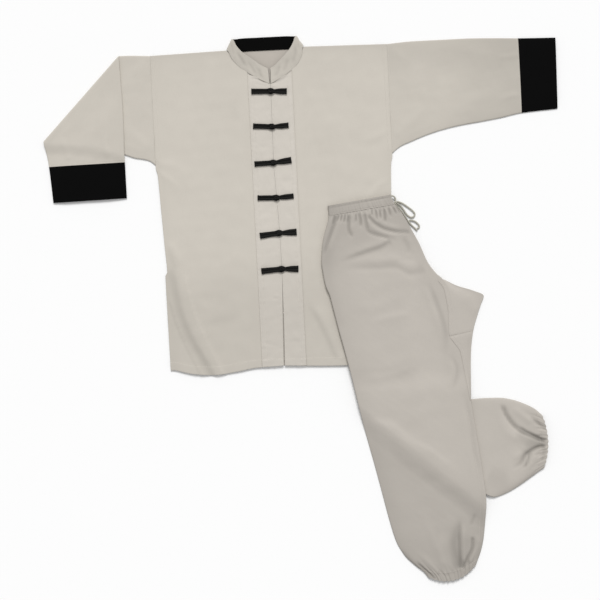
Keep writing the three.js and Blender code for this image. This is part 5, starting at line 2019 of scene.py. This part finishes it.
    def gusset_near(self) -> None:
        """The upper wall of the crotch gusset, lapped over the leg's edge and coming down to the rim."""
        cut = self.cut
        down = stations(307.0, 4.0, (142.0,)) + 238.0
        across = np.concatenate([[0, 0.012], np.linspace(0.04, 0.96, 34), [0.985, 1]])
        share, s = np.meshgrid(across, down)
        edge, rim = cut.right(s), np.maximum(cut.gusset(s), cut.right(s) + 2.5)
        x, y = lerp(cut.gusset_seam(s), rim, share), -s
        w = np.clip((x - cut.left(s)) / (edge - cut.left(s)), 0, 1)
        on_leg = self.near_heights(np.minimum(x, edge), y, w)[1]
        out = smooth((x - edge) / (rim - edge), 0, 1)
        rim_top = lerp(cut.pair + 0.2, 7.4, smooth(s, 420, 540))
        soft = Rumple(71, 0.35, 44).relief(x, y) * smooth(share, 0, 0.15) * (1 - smooth(share, 0.85, 1))
        past = x - cut.gusset_seam(s)
        sewn = 0.3 * sum(bell(past - row, 1.2) for row in self.gusset_rows)
        foot = 0.5 * bell(s + cut.gusset_foot[1], 1.6)
        high = lerp(on_leg + 0.95, rim_top, out) + soft * out - sewn - foot
        high = high - 0.3 * (1 - smooth(past, 0, 1.4))
        top = np.stack([x, y, high], axis=-1)
        bottom = np.stack([x, y, high - 0.8], axis=-1)
        # painted shade near the rim and lower down the gusset
        tone = 1 - 0.03 * bell(x - rim, 10) - 0.02 * smooth(s, 370, 400)
        skin = panel_skin(top, bottom, top[..., :2], tone)
        size = Cut(*self.gusset_size, ground_area(x, y), Held.LAID, ("leg_near_cloth",))
        self.garment.sew("gusset_near", skin, TROUSER_CLOTH, size)
        for offset in self.gusset_rows:
            line = [
                [np.interp(offset, row - row[0], row), -place, np.interp(offset, row - row[0], tall)]
                for row, place, tall in zip(x, down, high)
                if row[-1] - row[0] > offset + 3 and place < 400
            ]
            self.lines.append(np.array(line))
        self.lines.append(top[nearest(down, -cut.gusset_foot[1] - 3)])

    def build(self) -> None:
        """Builds both legs, the gusset and the stitches."""
        self.far_leg()
        self.near_leg()
        self.gusset_far()
        self.gusset_near()
        self.garment.make("trouser_stitching", Stitches().along(self.lines), TROUSER_THREAD)


@dataclass
class Waistband:
    """The elasticated casing, gathered, folded in half with the legs."""

    garment: Garment
    legs: Legs
    size: tuple[float, float] = (344.0, 37.0)  # all round what shows, and from top to seam
    rows: tuple[Row, ...] = ((-5, 2.5, 0), (1, 8.5, 0), (8, 15, 0), (14, 21.5, 0), (20, 28.5, 0))
    gathers: Gathers = Gathers(22, 81, 1.0, 60, 0.26)

    def tone(self, x: Array, y: Array, w: Array) -> Array:
        """Painted shading of the band: painted shade along its top and at its folded ends."""
        down = -y - 8 * w
        return 0.89 - 0.07 * (1 - smooth(down, -1, 4)) - 0.08 * (1 - crown(w)) - 0.05 * bell(w, 0.3)

    def build(self) -> None:
        """Builds the band and its rows of stitches."""
        cut = self.legs.cut
        tall = cut.folded + cut.layer_gap + cut.pair

        def heights(x: Array, y: Array, w: Array) -> tuple[Array, Array]:
            """Lower and upper surface of the band."""
            low = self.legs.over_jacket(x, y)
            down = -y - 8 * w
            ruck = self.gathers.relief(w, np.abs(down - 22) * 0.7) * smooth(down, -3, 4)
            ripple = np.sin(2 * math.pi * 31 * w + 2.4 * np.sin(7 * w))
            ruck = ruck + 0.3 * ripple * smooth(down, -3, 6) * (1 - 0.7 * bell(w - 0.8, 0.13))
            sewn = bell(down - 17.5, 1.4)
            welt = 0.9 * bell(down - lerp(2.5, 1.5, w), 1.8) * (0.4 + 0.6 * smooth(w, 0.5, 0.7))
            join = bell((w - 0.52) * 164, 1.6) + bell((w - 0.585) * 164, 1.6)
            return low, low + tall + 0.9 * crown(w) + (ruck - 0.5 * sewn - welt - 0.6 * join) * crown(w)

        tube = FlatTube(1.2, 120, 30)
        left, right, bulge, along = rings_through(self.rows, 1.7, (-4.0,))
        skin, outer, area = tube.build(self.legs.ground(left, right, bulge), heights, along, None, self.tone)
        size = Cut(*self.size, area, Held.GATHERED, ("jacket_front_left_cloth",))
        self.garment.sew("waistband", skin, TROUSER_CLOTH, size)
        lines = [tube.top_line(outer, nearest(along, mark)) for mark in (3.0, along[-1] - 4.0)]
        self.garment.make("waist_stitching", Stitches(2.6, 1.9, 0.35).along(lines), TROUSER_THREAD)


@dataclass
class Drawstring:
    """The drawstring: a bow at the front end of the waistband, lying beside the trousers."""

    garment: Garment
    diameter: float = 4.0
    knot: Row = (84.3, -24.9, 5.4)
    knot_ahead: tuple[float, float] = (0.85, -0.53)
    knot_size: tuple[float, float, float, float] = (4.5, 4.2, 3.6, 1.6)  # half long, wide and high, and cord
    lead: tuple[Row, ...] = (
        (73.5, -6, 8.5), (77.9, -5.6, 8.6), (82.1, -6.8, 7.8), (85.6, -10, 6.4), (86.9, -14.6, 5.4),
        (86.2, -19.6, 5.2),
    )
    loop: tuple[Row, ...] = (
        (89.6, -23, 4.6), (92.3, -23.6, 3.4), (96.7, -25.9, 2.5), (103.4, -31.1, 2.5),
        (111.4, -39.6, 2.5), (119, -48.6, 2.5), (124.4, -56.4, 2.5), (126, -63, 2.5), (122.2, -68, 2.5),
        (115.8, -68.6, 2.5), (109.6, -64, 2.5), (105, -56, 2.5), (101.6, -47, 2.5), (98.2, -38.8, 2.5),
        (94.2, -32.4, 3.2), (89.4, -27.6, 4.6),
    )
    end: tuple[Row, ...] = (
        (84.8, -28.8, 4.6), (87.2, -33, 3.2), (90.4, -38.6, 2.5), (94.2, -45.6, 2.5), (98, -54, 2.5),
        (101.8, -64, 2.5), (104.9, -73, 2.5), (108.2, -81, 2.5), (112.6, -88.6, 2.5), (117.6, -95.6, 2.5),
        (121, -101, 2.5), (122.2, -103.8, 2.5),
    )
    bight: tuple[Row, ...] = (
        (109.7, -75.2, 2.5), (115.8, -76.4, 2.5), (122, -80.2, 2.5), (127, -86, 2.5), (130.2, -92.6, 2.5),
        (129, -97.6, 2.5), (124.8, -98.8, 2.5),
    )

    def string(self, name: str, points: Sequence[Row], nodes: Sequence[str]) -> None:
        """One stretch of the drawstring.

        Args:
            name: the piece's name.
            points: its route.
            nodes: the solids that it stands for.
        """
        line = even(curve_through(points, 8), 1.0)
        line[:, 2] = np.where(line[:, 2] < 3, self.diameter / 2, line[:, 2])
        size = np.full(len(line), self.diameter / 2)
        piece = self.garment.make(name, sweep(line, size, size, 18, lobes=0.03), STRING, nodes)
        row = self.garment.to_row(line)
        tuple(row[0])

    def build(self) -> None:
        """Builds the knot, the tied end, the bow's loop and the second bight."""
        knot = knot_skin(np.array(self.knot), np.array(self.knot_ahead), *self.knot_size)
        tied = self.garment.make("drawstring_knot_tied", knot, STRING, ["drawstring_knot"])
        through = (*self.lead, self.knot, *self.end)
        solids = ["drawstring_lead", "drawstring_end"]
        self.string("drawstring_tied_end", through, solids)
        self.string("drawstring_bow_loop", self.loop, ["drawstring_loop"])
        self.string("drawstring_second_bight", self.bight, ["drawstring_bight"])


# The studio


@dataclass(frozen=True)
class Studio:
    """Camera straight above, a pale floor and plain soft light."""

    centre: tuple[float, float] = (-0.0055, 0.0232)
    height: float = 3.0
    lens: float = 72.0
    floor_size: float = 14.0
    floor_drop: float = 0.0005
    sky: float = 0.53
    key: float = 2.34
    key_from: tuple[float, float, float] = (0.06, 1.0, 1.0)
    key_softness: float = 24.0

    def camera(self) -> None:
        """Looks straight down at the middle of the picture."""
        data = bpy.data.cameras.new("camera")
        data.lens = self.lens
        data.sensor_width = 36.0
        camera = bpy.data.objects.new("camera", data)
        camera.location = (*self.centre, self.height)
        bpy.context.scene.collection.objects.link(camera)
        bpy.context.scene.camera = camera

    def light(self, name: str, source: tuple[float, float, float], softness: float, power: float) -> None:
        """One even light.

        Args:
            name: the light's name.
            source: the direction that it comes from.
            softness: how wide it looks, in degrees.
            power: how strong it is.
        """
        data = bpy.data.lights.new(name, "SUN")
        data.angle = math.radians(softness)
        data.energy = power
        lamp = bpy.data.objects.new(name, data)
        lamp.rotation_euler = (-Vector(source)).to_track_quat("-Z", "Y").to_euler()
        bpy.context.scene.collection.objects.link(lamp)

    def build(self) -> None:
        """Sets up the floor, the lights and the sky."""
        half = self.floor_size / 2
        mesh = bpy.data.meshes.new("floor")
        corners = [(-half, -half, 0), (half, -half, 0), (half, half, 0), (-half, half, 0)]
        mesh.from_pydata(corners, [], [(0, 1, 2, 3)])
        mesh.materials.append(FloorFinish().make())
        floor = bpy.data.objects.new("floor", mesh)
        floor.location.z = -self.floor_drop
        bpy.context.scene.collection.objects.link(floor)
        world = bpy.data.worlds.new("studio")
        world.use_nodes = True
        world.node_tree.nodes["Background"].inputs["Color"].default_value = (1, 1, 1, 1)
        world.node_tree.nodes["Background"].inputs["Strength"].default_value = self.sky
        bpy.context.scene.world = world
        self.light("key", self.key_from, self.key_softness, self.key)
        bpy.context.scene.view_settings.view_transform = "Standard"


def main() -> None:
    """Builds the studio, then the trousers' drawstring, then both garments piece by piece."""
    logging.basicConfig(level=logging.INFO, format="%(name)s %(message)s")
    studio = Studio()
    studio.camera()
    jacket = Garment("jacket", -80.23, 564.58, 2.9)
    trousers = Garment("trousers", 144.47, 270.88, 12.82)
    Drawstring(trousers).build()
    jacket_cut = JacketCut()
    JacketBody(jacket, jacket_cut).build()
    Sleeves(jacket, jacket_cut).build()
    Collar(jacket, jacket_cut).build()
    Frogs(jacket, jacket_cut).build()
    legs = Legs(trousers, jacket, TrouserCut(), jacket_cut)
    legs.build()
    Waistband(trousers, legs).build()
    studio.build()


if __name__ == "__main__":
    main()
